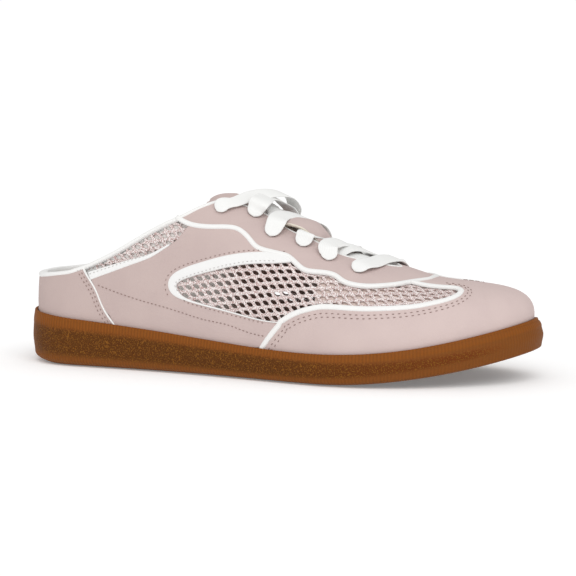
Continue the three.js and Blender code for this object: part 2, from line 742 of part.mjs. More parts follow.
// The tongue lies under the upper's wall and rises between the edges of the throat
const TONGUE_FACE = -(LEATHER + GAP + NET_WALL + BINDING_TUCK + 2 * GAP);
const tongueTop = (point) => {
  const at = stationAt(point.along);
  const side = smooth((point.up - throatUp(point.along) - 0.05) / 0.09);
  const front = smooth((stationAt(THROAT_END) - at) / 0.09);
  return TONGUE_FACE + TONGUE_LIFT * side * front;
};
function tongue() {
  const STEPS = 15;
  const halfUp = (at) => {
    const round = THREE.MathUtils.clamp((at - TONGUE.top) / (TONGUE.roundFrom - TONGUE.top), 0, 1);
    return (1 - TONGUE.edge) * Math.max(TONGUE.blunt, Math.sqrt(1 - (1 - round) ** 2));
  };
  const edge = (along) => 1 - halfUp(stationAt(along));
  const grid = overCrest(alongOf(TONGUE.top), alongOf(TONGUE.front), edge, STEPS, 4);
  const flap = block(grid, (point) => tongueTop(point) - TONGUE_THICKNESS, tongueTop);
  const band = Array.from({ length: 9 }, (_, i) => {
    const at = THREE.MathUtils.lerp(KEEPER.from, KEEPER.to, i / 8);
    return { side: LATERAL, along: alongOf(at), up: 1, arch: Math.min(1, 2.6 * Math.sin((Math.PI * i) / 8)) };
  });
  const rise = (point) => tongueTop(point) + KEEPER_RISE * smooth(point.arch);
  const keeper = strip(band, constant(KEEPER_WIDTH), (p) => rise(p) - GAP, (p) => rise(p) + KEEPER_THICKNESS);
  return flap.add(keeper);
}

// One flat strand from an eyelet over the crest to an eyelet on the other side
function strand({ from, to, side, rise }) {
  const STEPS = 8;
  const start = eyelet(from, side);
  const end = eyelet(to, -side);
  const path = Array.from({ length: STEPS + 1 }, (_, i) => {
    const t = (2 * i) / STEPS - 1;
    const foot = t < 0 ? start : end;
    const bow = rise < 0 ? smooth(1 - Math.abs(t) / 0.6) : 1 - t ** 2;
    return {
      side: t < 0 ? side : -side,
      along: THREE.MathUtils.lerp(start.along, end.along, i / STEPS),
      up: 1 - (1 - foot.up) * Math.abs(t),
      narrow: 0.6 + 0.4 * smooth((1 - Math.abs(t)) / 0.35),
      height: LACE_FLOAT + LACE_SLACK * rise * bow,
    };
  });
  const low = (point) => point.height;
  const high = (point) => point.height + LACE_THICKNESS;
  return strip(path, (point) => LACE_WIDTH * point.narrow, low, high);
}
const LACE_FLOAT = TRIM_PROUD / 2 + 2 * GAP;

const colours = {
  leather: { color: 0xd3c0bb, roughness: 0.72, metalness: 0 },
  net: { color: 0xc9aeaa, roughness: 0.9, metalness: 0 },
  white: { color: 0xf1efec, roughness: 0.55, metalness: 0 },
  lace: { color: 0xf4f3f0, roughness: 0.85, metalness: 0 },
  rubber: { color: 0x8a5423, roughness: 0.6, metalness: 0 },
  footbed: { color: 0xb9b2aa, roughness: 0.9, metalness: 0 },
};

const shoe = new THREE.Group();
function add(name, body, finish) {
  const { vertProperties, triVerts, numProp } = body.getMesh();
  const positions = new Float32Array((vertProperties.length / numProp) * 3);
  for (let i = 0; i < positions.length / 3; i += 1) {
    for (let k = 0; k < 3; k += 1) positions[3 * i + k] = vertProperties[numProp * i + k];
  }
  const geometry = new THREE.BufferGeometry();
  geometry.setAttribute('position', new THREE.BufferAttribute(positions, 3));
  geometry.setIndex(Array.from(triVerts));
  geometry.computeVertexNormals();
  const mesh = new THREE.Mesh(geometry, new THREE.MeshStandardMaterial(colours[finish]));
  mesh.name = name;
  shoe.add(mesh);
}

add('outsole', outsole(), 'rubber');
add('insole', insole(), 'footbed');

// The open net and its lining: one hollow wall from the cup floor to the topline
const holes = [];
for (const side of [LATERAL, MEDIAL]) {
  for (let i = 0; i < EYELETS_PER_SIDE; i += 1) holes.push(eyeletHole(eyelet(i, side)));
}
let upper = layer(LEATHER + GAP, LEATHER + GAP + NET_WALL).subtract(bindingCut);
for (const hole of holes) upper = upper.subtract(hole);
add('upper', mainBody(upper), 'net');

// White trims in the order they are sewn: each later one stops short of those before it
const SIDES = [[LATERAL, 'lateral'], [MEDIAL, 'medial']];
const TUCK = -1.1;
const eyestayPath = [
  ...line(EYESTAY, LATERAL, 22),
  ...line(EYESTAY, MEDIAL, 22).reverse().slice(1),
].map((point) => ({ ...point, up: Math.min(1, point.up) }));
const trims = [{ name: 'eyestay_piping', ...trim(eyestayPath, EYESTAY_PIPING_WIDTH) }];
for (const [side, name] of SIDES) {
  const seam = line(TOE_SEAM, side, 3);
  const toePath = [
    { ...seam[0], up: TUCK },
    { ...seam[0], up: -0.05 },
    ...seam.slice(0, -1),
    ...line(NET_LOW.filter((row) => row.along >= TOE_SEAM[2].along), side, 13),
    ...line(NET_TIP, side, 6).slice(1),
  ];
  const counter = line(COUNTER_SEAM, side, 4);
  const foot = counter[counter.length - 1];
  const counterPath = [...counter, { ...foot, up: -0.05 }, { ...foot, up: TUCK }];
  trims.push({ name: `toe_piping_${name}`, ...trim(toePath, TOE_PIPING_WIDTH) });
  trims.push({ name: `window_tape_${name}`, ...trim(line(WINDOW_TAPE, side, 12), WINDOW_TAPE_WIDTH, TRIM_PROUD / 2) });
  trims.push({ name: `counter_piping_${name}`, ...trim(counterPath, COUNTER_PIPING_WIDTH) });
  trims.push({ name: `rear_tape_${name}`, ...trim(line(REAR_TAPE, side, 5), REAR_TAPE_WIDTH, TRIM_PROUD / 2) });
}
let sewn = bindingCut;
let leather = layer(0, LEATHER).subtract(bindingCut);
for (const { name, piece, cut } of trims) {
  add(name, mainBody(piece.subtract(sewn)), 'white');
  sewn = sewn.add(cut);
  leather = leather.subtract(cut);
}
add('topline_binding', binding, 'white');

// Leather panels: the leather layer less the net openings and the trims, shared out by the seams
for (const [side] of SIDES) leather = leather.subtract(netPolygon(side)).subtract(rearNet(side));
const eyestayRegion = block(overCrest(EYESTAY[0].along - 0.01, EYESTAY[EYESTAY.length - 1].along, (along) => eyestayUp(along), 24, 2), constant(CUT_LOW), constant(CUT_HIGH));
let eyestay = leather.intersect(eyestayRegion);
for (const hole of holes) eyestay = eyestay.subtract(hole);
add('eyestay', mainBody(eyestay), 'leather');
const panels = leather.subtract(eyestayRegion).decompose().filter((piece) => piece.volume() > 60);
const lowX = (piece) => piece.boundingBox().min[0];
const ordered = panels.sort((a, b) => lowX(a) - lowX(b));
const [counter, ...others] = ordered;
add('heel_counter', counter, 'leather');
add('toe_panel', others.pop(), 'leather');
for (const piece of others) add(piece.boundingBox().max[1] < 0 ? 'quarter_lateral' : 'quarter_medial', piece, 'leather');
add('tongue', tongue(), 'leather');
for (const [name, rows] of Object.entries(LACES)) {
  add(name, rows.map(strand).reduce((joined, next) => joined.add(next)), 'lace');
}

// The origin is on the floor under the middle of the whole shoe
const middle = new THREE.Box3().setFromObject(shoe).getCenter(new THREE.Vector3());
shoe.position.set(-middle.x, -middle.y, 0);

export default shoe;
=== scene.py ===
"""Dressed model of a laced sneaker mule, right foot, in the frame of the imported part.

Every surface is a grid on the last, the form that the shoe is built on. A point of it has three numbers:
along, from 0 at the heel to 1 at the toe, evenly by angle, so that stations crowd at both ends; up, from 0
at the rubber rim to 1 on the crest; and side, minus one for the foot's outer side and one for its inner.
The foot of a column is the sole's plan moved in by the thickness of the lip. From there a cubic curve rises
to the crest. A height is then laid off along the surface's normal: 0 is the outer face of the leather.
The working unit is the millimetre, with the heel at x = 0. in_frame turns it into the row frame in metres.
"""

import math

import bpy
import numpy as np
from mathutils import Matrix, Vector


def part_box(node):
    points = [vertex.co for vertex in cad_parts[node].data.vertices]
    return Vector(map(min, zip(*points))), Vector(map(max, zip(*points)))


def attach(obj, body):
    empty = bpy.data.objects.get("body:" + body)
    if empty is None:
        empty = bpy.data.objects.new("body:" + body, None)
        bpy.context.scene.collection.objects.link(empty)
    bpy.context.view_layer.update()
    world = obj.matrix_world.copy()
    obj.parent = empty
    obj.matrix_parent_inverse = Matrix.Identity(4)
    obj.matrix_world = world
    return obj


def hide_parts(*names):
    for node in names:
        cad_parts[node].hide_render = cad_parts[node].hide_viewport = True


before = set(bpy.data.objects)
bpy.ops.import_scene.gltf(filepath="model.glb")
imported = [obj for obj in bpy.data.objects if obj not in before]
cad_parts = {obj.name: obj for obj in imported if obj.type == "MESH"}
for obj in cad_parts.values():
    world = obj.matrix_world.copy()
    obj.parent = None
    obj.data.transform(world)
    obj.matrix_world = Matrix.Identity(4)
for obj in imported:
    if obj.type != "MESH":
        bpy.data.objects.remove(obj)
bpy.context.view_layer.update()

# Camera: at the photograph's height and angle, one metre from the shoe, with a long lens.
# The shift puts the optical axis where the photograph has it, in its own pixels.
PHOTO_SIZE = 576.0
AXIS_X, AXIS_Y = 277.39, 308.37
camera_data = bpy.data.cameras.new("camera")
camera = bpy.data.objects.new("camera", camera_data)
bpy.context.scene.collection.objects.link(camera)
bpy.context.scene.camera = camera
TURN = math.radians(21.0)
STAND_OFF = 1.0
EYE_HEIGHT = 0.1555
AIM_HEIGHT = 0.030
camera.location = (math.sin(TURN) * STAND_OFF, -math.cos(TURN) * STAND_OFF - 0.0005, EYE_HEIGHT)
look = Vector((-math.sin(TURN) * STAND_OFF, math.cos(TURN) * STAND_OFF, AIM_HEIGHT - EYE_HEIGHT))
camera.rotation_euler = look.to_track_quat("-Z", "Y").to_euler()
camera_data.sensor_width = 36.0
camera_data.lens = 126.1
camera_data.shift_x = (PHOTO_SIZE / 2 - AXIS_X) / PHOTO_SIZE
camera_data.shift_y = (AXIS_Y - PHOTO_SIZE / 2) / PHOTO_SIZE
camera_data.clip_start = 0.01
camera_data.clip_end = 20.0

# Floor and light: a white table that runs out of the picture, a white sky, and two large soft lamps.
# They aren't part of the shoe.
scene = bpy.context.scene
scene.view_settings.view_transform = "Standard"
floor_mesh = bpy.data.meshes.new("floor")
floor_mesh.from_pydata([(-6, -6, 0), (6, -6, 0), (6, 6, 0), (-6, 6, 0)], [], [(0, 1, 2, 3)])
floor = bpy.data.objects.new("floor", floor_mesh)
scene.collection.objects.link(floor)
floor.location.z = -0.0004
floor_paint = bpy.data.materials.new("floor")
floor_paint.use_nodes = True
floor_shader = floor_paint.node_tree.nodes["Principled BSDF"]
floor_shader.inputs["Base Color"].default_value = (0.93, 0.93, 0.93, 1)
floor_shader.inputs["Roughness"].default_value = 0.9
floor_shader.inputs["Specular IOR Level"].default_value = 0.1
floor_shader.inputs["Emission Color"].default_value = (1, 1, 1, 1)
floor_shader.inputs["Emission Strength"].default_value = 0.17
floor_mesh.materials.append(floor_paint)
world = bpy.data.worlds.new("sky")
world.use_nodes = True
sky = world.node_tree.nodes["Background"]
sky.inputs["Color"].default_value = (1.0, 1.0, 1.0, 1)
sky.inputs["Strength"].default_value = 0.64
backdrop = world.node_tree.nodes.new("ShaderNodeBackground")
backdrop.inputs["Color"].default_value = (1.0, 1.0, 1.0, 1)
backdrop.inputs["Strength"].default_value = 1.02
seen = world.node_tree.nodes.new("ShaderNodeLightPath")
either = world.node_tree.nodes.new("ShaderNodeMixShader")
world.node_tree.links.new(seen.outputs["Is Camera Ray"], either.inputs["Fac"])
world.node_tree.links.new(sky.outputs["Background"], either.inputs[1])
world.node_tree.links.new(backdrop.outputs["Background"], either.inputs[2])
world.node_tree.links.new(either.outputs["Shader"], world.node_tree.nodes["World Output"].inputs["Surface"])
scene.world = world


def lamp(name, place, spread, power):
    """Sun of a wide angle, whose light comes from a place towards the origin."""
    data = bpy.data.lights.new(name, "SUN")
    data.angle = math.radians(spread)
    data.energy = power
    made = bpy.data.objects.new(name, data)
    made.location = place
    made.rotation_euler = (-Vector(place)).to_track_quat("-Z", "Y").to_euler()
    scene.collection.objects.link(made)


lamp("key", (0.60, -0.80, 1.20), 50.0, 1.05)
lamp("fill", (-0.10, -1.00, 0.45), 60.0, 0.45)

# Outsole: one cup of gum rubber, moulded whole and cemented round the foot of the upper.
# Its side has a lip on top, a stippled band, and fine ribs above and below the band, their grooves darkened
# with painted shade.
# The plan is a centre line and half widths as shares of the ball's width, the same as in the solids.
LENGTH, BALL_WIDTH = 264.0, 94.0
HEEL_RIM = 26.5
TOE_SPRING, HEEL_BEVEL = 14.0, 1.6
LIP_SETBACK, TOE_FLARE = 0.9, 1.6
HEEL_ROUND, TOE_ROUND, END_POWER = 34.0, 78.0, 2.2
SIDE_INSET = 5.0
RIB_PITCH = 1.7
LATERAL, MEDIAL = -1.0, 1.0
sole_low, sole_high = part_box("outsole")


def natural(rows):
    """Natural cubic spline through (x, y) rows as a function of x, held at its ends."""
    x, y = np.array(rows, float).T
    step = np.diff(x)
    matrix = np.eye(len(x))
    right = np.zeros(len(x))
    for i in range(1, len(x) - 1):
        matrix[i, i - 1:i + 2] = step[i - 1], 2 * (step[i - 1] + step[i]), step[i]
        right[i] = 6 * ((y[i + 1] - y[i]) / step[i] - (y[i] - y[i - 1]) / step[i - 1])
    bend = np.linalg.solve(matrix, right)

    def value(at):
        at = np.clip(at, x[0], x[-1])
        i = np.clip(np.searchsorted(x, at) - 1, 0, len(x) - 2)
        b = (at - x[i]) / step[i]
        a = 1 - b
        bow = ((a ** 3 - a) * bend[i] + (b ** 3 - b) * bend[i + 1]) * step[i] ** 2 / 6
        return a * y[i] + b * y[i + 1] + bow
    return value


def steady(rows):
    """Cubic curve through (x, y) rows with no overshoot: each slope is the harmonic mean of its chords."""
    x, y = np.array(rows, float).T
    chord = np.diff(y) / np.diff(x)
    slope = np.concatenate([chord[:1], np.zeros(len(x) - 2), chord[-1:]])
    same = chord[:-1] * chord[1:] > 0
    slope[1:-1][same] = (2 * chord[:-1] * chord[1:] / (chord[:-1] + chord[1:] + 1e-12))[same]

    def value(at):
        at = np.clip(at, x[0], x[-1])
        i = np.clip(np.searchsorted(x, at) - 1, 0, len(x) - 2)
        span = x[i + 1] - x[i]
        t = (at - x[i]) / span
        start = (1 + 2 * t) * (1 - t) ** 2 * y[i] + t * (1 - t) ** 2 * span * slope[i]
        return start + t ** 2 * (3 - 2 * t) * y[i + 1] + t ** 2 * (t - 1) * span * slope[i + 1]
    return value


plan_centre = natural([(0, 0), (.15, -.005), (.30, -.030), (.42, -.055), (.55, -.045), (.66, -.015),
                       (.74, .015), (.85, .060), (1, .120)])
plan_half = natural([(0, .345), (.15, .345), (.30, .335), (.42, .345), (.55, .415), (.66, .480),
                     (.74, .492), (.85, .470), (1, .440)])
rim_share = natural([(0, 1), (.30, .765), (.62, .565), (.82, .715), (1, 1.115)])


def smooth(value):
    """Smooth step from 0 to 1: three times the square less twice the cube of the value."""
    t = np.clip(value, 0, 1)
    return t * t * (3 - 2 * t)


def station(along):
    """Share of the length at a value of along: half of one less the cosine of its angle."""
    return (1 - np.cos(np.pi * np.asarray(along, float))) / 2


def rim_height(share):
    """Height of the rubber rim above the floor, a share of its height at the heel."""
    return HEEL_RIM * rim_share(share)


def sole_bottom(share):
    """Height of the tread: the toe rises as a square from 62% of the length, the heel's edge a little."""
    toe = np.maximum(0, (share - .62) / .38)
    heel = np.maximum(0, (.08 - share) / .08)
    return TOE_SPRING * toe ** 2 + HEEL_BEVEL * heel ** 2


def rim_setback(share):
    """How far the rim stands back from the widest line: steady, and more at the flared toe."""
    return LIP_SETBACK + TOE_FLARE * smooth((share - .80) / .20)


def plan_point(along, side, inset):
    """Point of the sole's plan, moved in along its normal; the ends are quarters of a superellipse."""
    along, side, inset = np.broadcast_arrays(np.asarray(along, float), side, inset)

    def raw(at):
        share = station(at)
        heel = np.maximum(0, 1 - share * LENGTH / HEEL_ROUND)
        toe = np.maximum(0, 1 - (1 - share) * LENGTH / TOE_ROUND)
        ends = ((1 - heel ** END_POWER) * (1 - toe ** END_POWER)) ** (1 / END_POWER)
        across = plan_centre(share) + side * plan_half(share) * ends
        return np.stack([LENGTH * share, BALL_WIDTH * across], -1)
    step = 1e-4
    run = raw(np.minimum(1, along + step)) - raw(np.maximum(0, along - step))
    run /= np.linalg.norm(run, axis=-1, keepdims=True)
    out = np.stack([-run[..., 1] * side, run[..., 0] * side], -1)
    out[along < step] = (-1, 0)
    out[along > 1 - step] = (1, 0)
    return raw(along) - inset[..., None] * out


plan_sample = plan_point(np.linspace(0, 1, 2001), np.array([[LATERAL], [MEDIAL]]), 0.0)
shift = np.array([-1000 * sole_low[0], plan_sample[..., 1].max() - 1000 * sole_high[1], 0.0])


def in_frame(points):
    """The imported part's frame: moved to its origin and turned from millimetres into metres."""
    return (points - shift) / 1000


def finish_piece(name, points, quads, uv=None, material=None, slot=None, smooth_faces=True):
    """Mesh object from points in millimetres and quads, linked, with one uv value a corner."""
    points = np.asarray(points, np.float64).reshape(-1, 3)
    quads = np.asarray(quads, np.int32).reshape(-1, 4)
    corners = points[quads]
    area = np.cross(corners[:, 2] - corners[:, 0], corners[:, 3] - corners[:, 1])
    if (corners.mean(1) * area).sum() < 0:
        quads = quads[:, ::-1]
    mesh = bpy.data.meshes.new(name)
    mesh.vertices.add(len(points))
    mesh.vertices.foreach_set("co", in_frame(points).astype(np.float32).ravel())
    mesh.loops.add(quads.size)
    mesh.loops.foreach_set("vertex_index", quads.ravel())
    mesh.polygons.add(len(quads))
    mesh.polygons.foreach_set("loop_start", np.arange(0, quads.size, 4, dtype=np.int32))
    mesh.polygons.foreach_set("use_smooth", np.full(len(quads), smooth_faces))
    mesh.update(calc_edges=True)
    if uv is not None:
        layer = mesh.uv_layers.new(name="mm")
        flat = np.asarray(uv, np.float32).reshape(-1, 2)[quads.ravel()]
        layer.data.foreach_set("uv", flat.ravel())
    mesh.validate()
    piece = bpy.data.objects.new(name, mesh)
    scene.collection.objects.link(piece)
    if material is not None:
        mesh.materials.append(material)
    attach(piece, "root")
    return piece


def grid_quads(rows, cols, wrap_rows=False, wrap_cols=False, offset=0):
    """Quads between neighbouring rows and columns of a grid, closed round on either way if asked."""
    i, j = np.meshgrid(np.arange(rows if wrap_rows else rows - 1),
                       np.arange(cols if wrap_cols else cols - 1), indexing="ij")
    i, j = i.ravel(), j.ravel()
    i2, j2 = (i + 1) % rows, (j + 1) % cols
    return np.stack([i * cols + j, i2 * cols + j, i2 * cols + j2, i * cols + j2], 1) + offset


def material(name, color, roughness, specular=0.3):
    """Principled material of one colour and roughness."""
    made = bpy.data.materials.new(name)
    made.use_nodes = True
    shader = made.node_tree.nodes["Principled BSDF"]
    shader.inputs["Base Color"].default_value = (*color, 1)
    shader.inputs["Roughness"].default_value = roughness
    shader.inputs["Specular IOR Level"].default_value = specular
    return made


def nodes_of(made):
    """A material's nodes, links and shader."""
    return made.node_tree.nodes, made.node_tree.links, made.node_tree.nodes["Principled BSDF"]


def math_node(nodes, links, operation, *inputs):
    """One arithmetic step on sockets or numbers."""
    node = nodes.new("ShaderNodeMath")
    node.operation = operation
    for i, value in enumerate(inputs):
        if isinstance(value, (int, float)):
            node.inputs[i].default_value = value
        else:
            links.new(value, node.inputs[i])
    return node.outputs[0]


def ramp_node(nodes, links, value, low, high):
    """Smooth step of a value from 0 at one limit to 1 at another."""
    node = nodes.new("ShaderNodeMapRange")
    node.interpolation_type = "SMOOTHSTEP"
    links.new(value, node.inputs["Value"])
    node.inputs["From Min"].default_value = low
    node.inputs["From Max"].default_value = high
    return node.outputs["Result"]


def mix_node(nodes, links, factor, first, second):
    """Blend of two colours, numbers or sockets by a factor."""
    node = nodes.new("ShaderNodeMix")
    node.data_type = "RGBA"
    for key, value in (("Factor", factor), ("A", first), ("B", second)):
        kind = "VALUE" if key == "Factor" else "RGBA"
        socket = [x for x in node.inputs if x.name == key and x.type == kind][0]
        if isinstance(value, (int, float)):
            socket.default_value = value
        elif isinstance(value, tuple):
            socket.default_value = (*value, 1)
        else:
            links.new(value, socket)
    return [x for x in node.outputs if x.type == "RGBA"][0]


def noise_node(nodes, links, scale, detail):
    """Noise in object coordinates."""
    place = nodes.new("ShaderNodeTexCoord")
    noise = nodes.new("ShaderNodeTexNoise")
    noise.inputs["Scale"].default_value = scale
    noise.inputs["Detail"].default_value = detail
    links.new(place.outputs["Object"], noise.inputs["Vector"])
    return noise.outputs["Fac"]


def along_shoe(nodes, links):
    """Object coordinate along the shoe, in metres from its middle."""
    place = nodes.new("ShaderNodeTexCoord")
    split = nodes.new("ShaderNodeSeparateXYZ")
    links.new(place.outputs["Object"], split.inputs[0])
    return split.outputs[0]


def uv_axes(nodes, links):
    """The piece's own two measures, from its uv."""
    measure = nodes.new("ShaderNodeUVMap")
    measure.uv_map = "mm"
    split = nodes.new("ShaderNodeSeparateXYZ")
    links.new(measure.outputs["UV"], split.inputs[0])
    return split.outputs[0], split.outputs[1]


def add_bump(nodes, links, shader, height, strength, distance):
    """Relief on a shader from a height."""
    bump = nodes.new("ShaderNodeBump")
    bump.inputs["Strength"].default_value = strength
    bump.inputs["Distance"].default_value = distance
    links.new(height, bump.inputs["Height"])
    links.new(bump.outputs["Normal"], shader.inputs["Normal"])


SIDE_BACK = natural([(0, 1), (.05, .45), (.16, .14), (.42, 0), (.70, .06), (1, .1)])
HALF_LOOP = 320
LOOP = 2 * HALF_LOOP - 2
half = np.linspace(0, 1, HALF_LOOP)
around = np.concatenate([half, half[-2:0:-1]])
around_side = np.concatenate([np.full(HALF_LOOP, LATERAL), np.full(HALF_LOOP - 2, MEDIAL)])
share = station(around)
setback = rim_setback(share)
floor_level, rim_level = sole_bottom(share), rim_height(share)
loops = []


def sole_loop(inset, level, band):
    """Adds a loop round the sole: the plan moved in by an inset, at a height and a share of the side."""
    foot = plan_point(around, around_side, inset)
    loops.append((np.concatenate([foot, level[:, None]], 1), np.full(len(around), band)))


for level in np.concatenate([np.linspace(0, .16, 9), np.linspace(.2, .72, 10)]):
    upper_part = np.where(level > .5, setback, 1 + (setback - 1) * smooth((level - .42) / .08))
    inset = SIDE_BACK(level) * SIDE_INSET * upper_part
    sole_loop(inset, floor_level + (rim_level - floor_level) * level, level)
for level, part in ((.76, .32), (.81, .40), (.86, .56), (.91, .80)):
    sole_loop(setback * part, floor_level + (rim_level - floor_level) * level, level)
for below, extra in ((1.2, 0), (.5, .05), (.15, .25), (0, .6), (0, 1.1), (0.15, 1.4), (.6, 1.6), (6.0, 1.6)):
    sole_loop(setback + extra, rim_level - below, 1.0)
girth = np.concatenate([[0], np.cumsum(np.linalg.norm(np.diff(loops[8][0], axis=0), axis=-1))])
points = np.concatenate([loop[0] for loop in loops])
uv = np.concatenate([np.stack([girth, loop[1]], 1) for loop in loops])
quads = [grid_quads(len(loops), len(around), wrap_cols=True)]
for k, row in ((0, 0), (1, len(loops) - 1)):
    first = np.arange(HALF_LOOP - 1)
    other = (LOOP - first) % LOOP
    cap = np.stack([first, other, LOOP - 1 - first, first + 1], 1) + row * LOOP
    quads.append(cap if k == 0 else cap[:, ::-1])
quads = np.concatenate(quads)
rubber = material("gum_rubber", (0.235, 0.075, 0.016), 0.6, 0.10)
nodes, links, shader = nodes_of(rubber)
around_mm, band_share = uv_axes(nodes, links)
shoe_x = along_shoe(nodes, links)
to_toe = ramp_node(nodes, links, shoe_x, 0.0, 0.132)
grit_low = math_node(nodes, links, "MULTIPLY_ADD", to_toe, 0.17, 0.20)
grit_high = math_node(nodes, links, "MULTIPLY_ADD", to_toe, -0.16, 0.78)
grit = noise_node(nodes, links, 1700, 1)
waver = math_node(nodes, links, "MULTIPLY_ADD", grit, 0.16, -0.08)
wavy_share = math_node(nodes, links, "ADD", band_share, waver)
above = ramp_node(nodes, links, math_node(nodes, links, "SUBTRACT", wavy_share, grit_low), -0.07, 0.09)
under = ramp_node(nodes, links, math_node(nodes, links, "SUBTRACT", grit_high, wavy_share), -0.07, 0.09)
heel_fade = ramp_node(nodes, links, shoe_x, -0.131, -0.120)
toe_fade = ramp_node(nodes, links, shoe_x, 0.126, 0.105)
stipple = math_node(nodes, links, "MULTIPLY", math_node(nodes, links, "MULTIPLY", above, under),
                    math_node(nodes, links, "MULTIPLY", heel_fade, toe_fade))
lip = ramp_node(nodes, links, band_share, 0.70, 0.80)
low_edge = ramp_node(nodes, links, band_share, 0.14, 0.02)
rib_turns = math_node(nodes, links, "MULTIPLY", around_mm, 2 * math.pi / RIB_PITCH)
rib_wave = math_node(nodes, links, "SINE", rib_turns)
rib_mask = math_node(nodes, links, "SUBTRACT", 1.0, stipple)
rib_depth = math_node(nodes, links, "MULTIPLY_ADD", to_toe, -0.20, 0.35)
rib = math_node(nodes, links, "MULTIPLY", math_node(nodes, links, "MULTIPLY", rib_wave, rib_depth), rib_mask)
speck = ramp_node(nodes, links, grit, 0.47, 0.68)
middle_colour = mix_node(nodes, links, lip, (.205, .066, .012), (.235, .072, .010))
edge_colour = mix_node(nodes, links, low_edge, middle_colour, (.230, .080, .016))
pit_colour = mix_node(nodes, links, to_toe, (.085, .026, .003), (.160, .034, .004))
specked = mix_node(nodes, links, speck, pit_colour, (.250, .096, .012))
rubber_colour = mix_node(nodes, links, stipple, edge_colour, specked)
# Painted shade: the rib wave darkens the rubber's colour in the grooves, less towards the toe where the ribs
# show little.
shade = math_node(nodes, links, "MULTIPLY_ADD", rib, 0.85, 0.08)
rib_painted_shade = math_node(nodes, links, "ADD", shade, 0.10)
rib_shaded_colour = mix_node(nodes, links, rib_painted_shade, rubber_colour, (.14, .045, .008))
links.new(rib_shaded_colour, shader.inputs["Base Color"])
height = math_node(nodes, links, "ADD", rib, math_node(nodes, links, "MULTIPLY", speck, stipple))
add_bump(nodes, links, shader, height, 0.7, 0.0003)
shader.inputs["Subsurface Weight"].default_value = 0.06
shader.inputs["Subsurface Radius"].default_value = (1.0, 0.35, 0.1)
shader.inputs["Subsurface Scale"].default_value = 0.003
outsole = finish_piece("outsole_rubber", points, quads[:, ::-1], uv, rubber, "gum_rubber")
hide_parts("outsole")

# Footbed: brushed cloth over foam, cut to the cup and laid in it, slightly dished.
# It ends a little way in from the upper's wall.
CUP_DEPTH, LIP_THICKNESS, GAP = 6.0, 1.6, 0.3
LEATHER, NET_WALL = 1.2, 1.5
INSOLE_THICKNESS, INSOLE_DISH = 4.5, 0.9
BED_ROWS, BED_COLS = 120, 41


def border_ring(rows, cols):
    """Indices round the border of a grid, in order."""
    return np.concatenate([
        np.arange(cols), np.arange(1, rows) * cols + cols - 1,
        (rows - 1) * cols + np.arange(cols - 2, -1, -1), np.arange(rows - 2, 0, -1) * cols])


def grain_group():
    """Grain for leather and cloth: noise in object coordinates as the height of a bump."""
    group = bpy.data.node_groups.new("grain", "ShaderNodeTree")
    for name in ("Scale", "Detail", "Strength", "Distance"):
        group.interface.new_socket(name, in_out="INPUT", socket_type="NodeSocketFloat")
    group.interface.new_socket("Normal", in_out="OUTPUT", socket_type="NodeSocketVector")
    nodes, links = group.nodes, group.links
    given, result = nodes.new("NodeGroupInput"), nodes.new("NodeGroupOutput")
    place = nodes.new("ShaderNodeTexCoord")
    noise = nodes.new("ShaderNodeTexNoise")
    bump = nodes.new("ShaderNodeBump")
    links.new(place.outputs["Object"], noise.inputs["Vector"])
    for name, node in (("Scale", noise), ("Detail", noise), ("Strength", bump), ("Distance", bump)):
        links.new(given.outputs[name], node.inputs[name])
    links.new(noise.outputs["Fac"], bump.inputs["Height"])
    links.new(bump.outputs["Normal"], result.inputs["Normal"])
    return group


grain = grain_group()


def add_grain(made, scale, strength, distance, detail=3.0):
    """Places the grain in a material with its own values."""
    nodes, links, shader = nodes_of(made)
    node = nodes.new("ShaderNodeGroup")
    node.node_tree = grain
    values = {"Scale": scale, "Detail": detail, "Strength": strength, "Distance": distance}
    for name, value in values.items():
        node.inputs[name].default_value = value
    links.new(node.outputs["Normal"], shader.inputs["Normal"])
    return made


inset_in = LIP_THICKNESS + GAP + LEATHER + GAP + NET_WALL + GAP
row = np.linspace(0.004, 0.996, BED_ROWS)[:, None]
col = np.linspace(-1, 1, BED_COLS)[None, :]
share = station(row)
left = plan_point(row[:, 0], LATERAL, rim_setback(share[:, 0]) + inset_in)
right = plan_point(row[:, 0], MEDIAL, rim_setback(share[:, 0]) + inset_in)
flat = left[:, None] * ((1 - col) / 2)[..., None] + right[:, None] * ((1 + col) / 2)[..., None]
bed_floor = rim_height(share) - CUP_DEPTH + GAP
hollow = np.clip(1 - np.abs(col) ** 6, 0, 1) * np.clip(np.minimum(row, 1 - row) * 12, 0, 1)
dish = INSOLE_THICKNESS - INSOLE_DISH * hollow
top_points = np.concatenate([flat, (bed_floor + dish)[..., None]], -1)
bottom_points = np.concatenate([flat, np.broadcast_to(bed_floor, dish.shape)[..., None]], -1)
border = border_ring(BED_ROWS, BED_COLS)
points = np.concatenate([top_points.reshape(-1, 3), bottom_points.reshape(-1, 3)])
count = BED_ROWS * BED_COLS
wall = np.stack([border, np.roll(border, -1), np.roll(border, -1) + count, border + count], 1)
quads = np.concatenate([
    grid_quads(BED_ROWS, BED_COLS), wall[:, ::-1], grid_quads(BED_ROWS, BED_COLS, offset=count)[:, ::-1]])
bed_cloth = add_grain(material("footbed_cloth", (0.62, 0.56, 0.52), 0.95, 0.1), 1800, 0.3, 0.0003)
footbed = finish_piece("footbed", points, quads, points[:, :2], bed_cloth, "footbed")
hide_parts("insole")
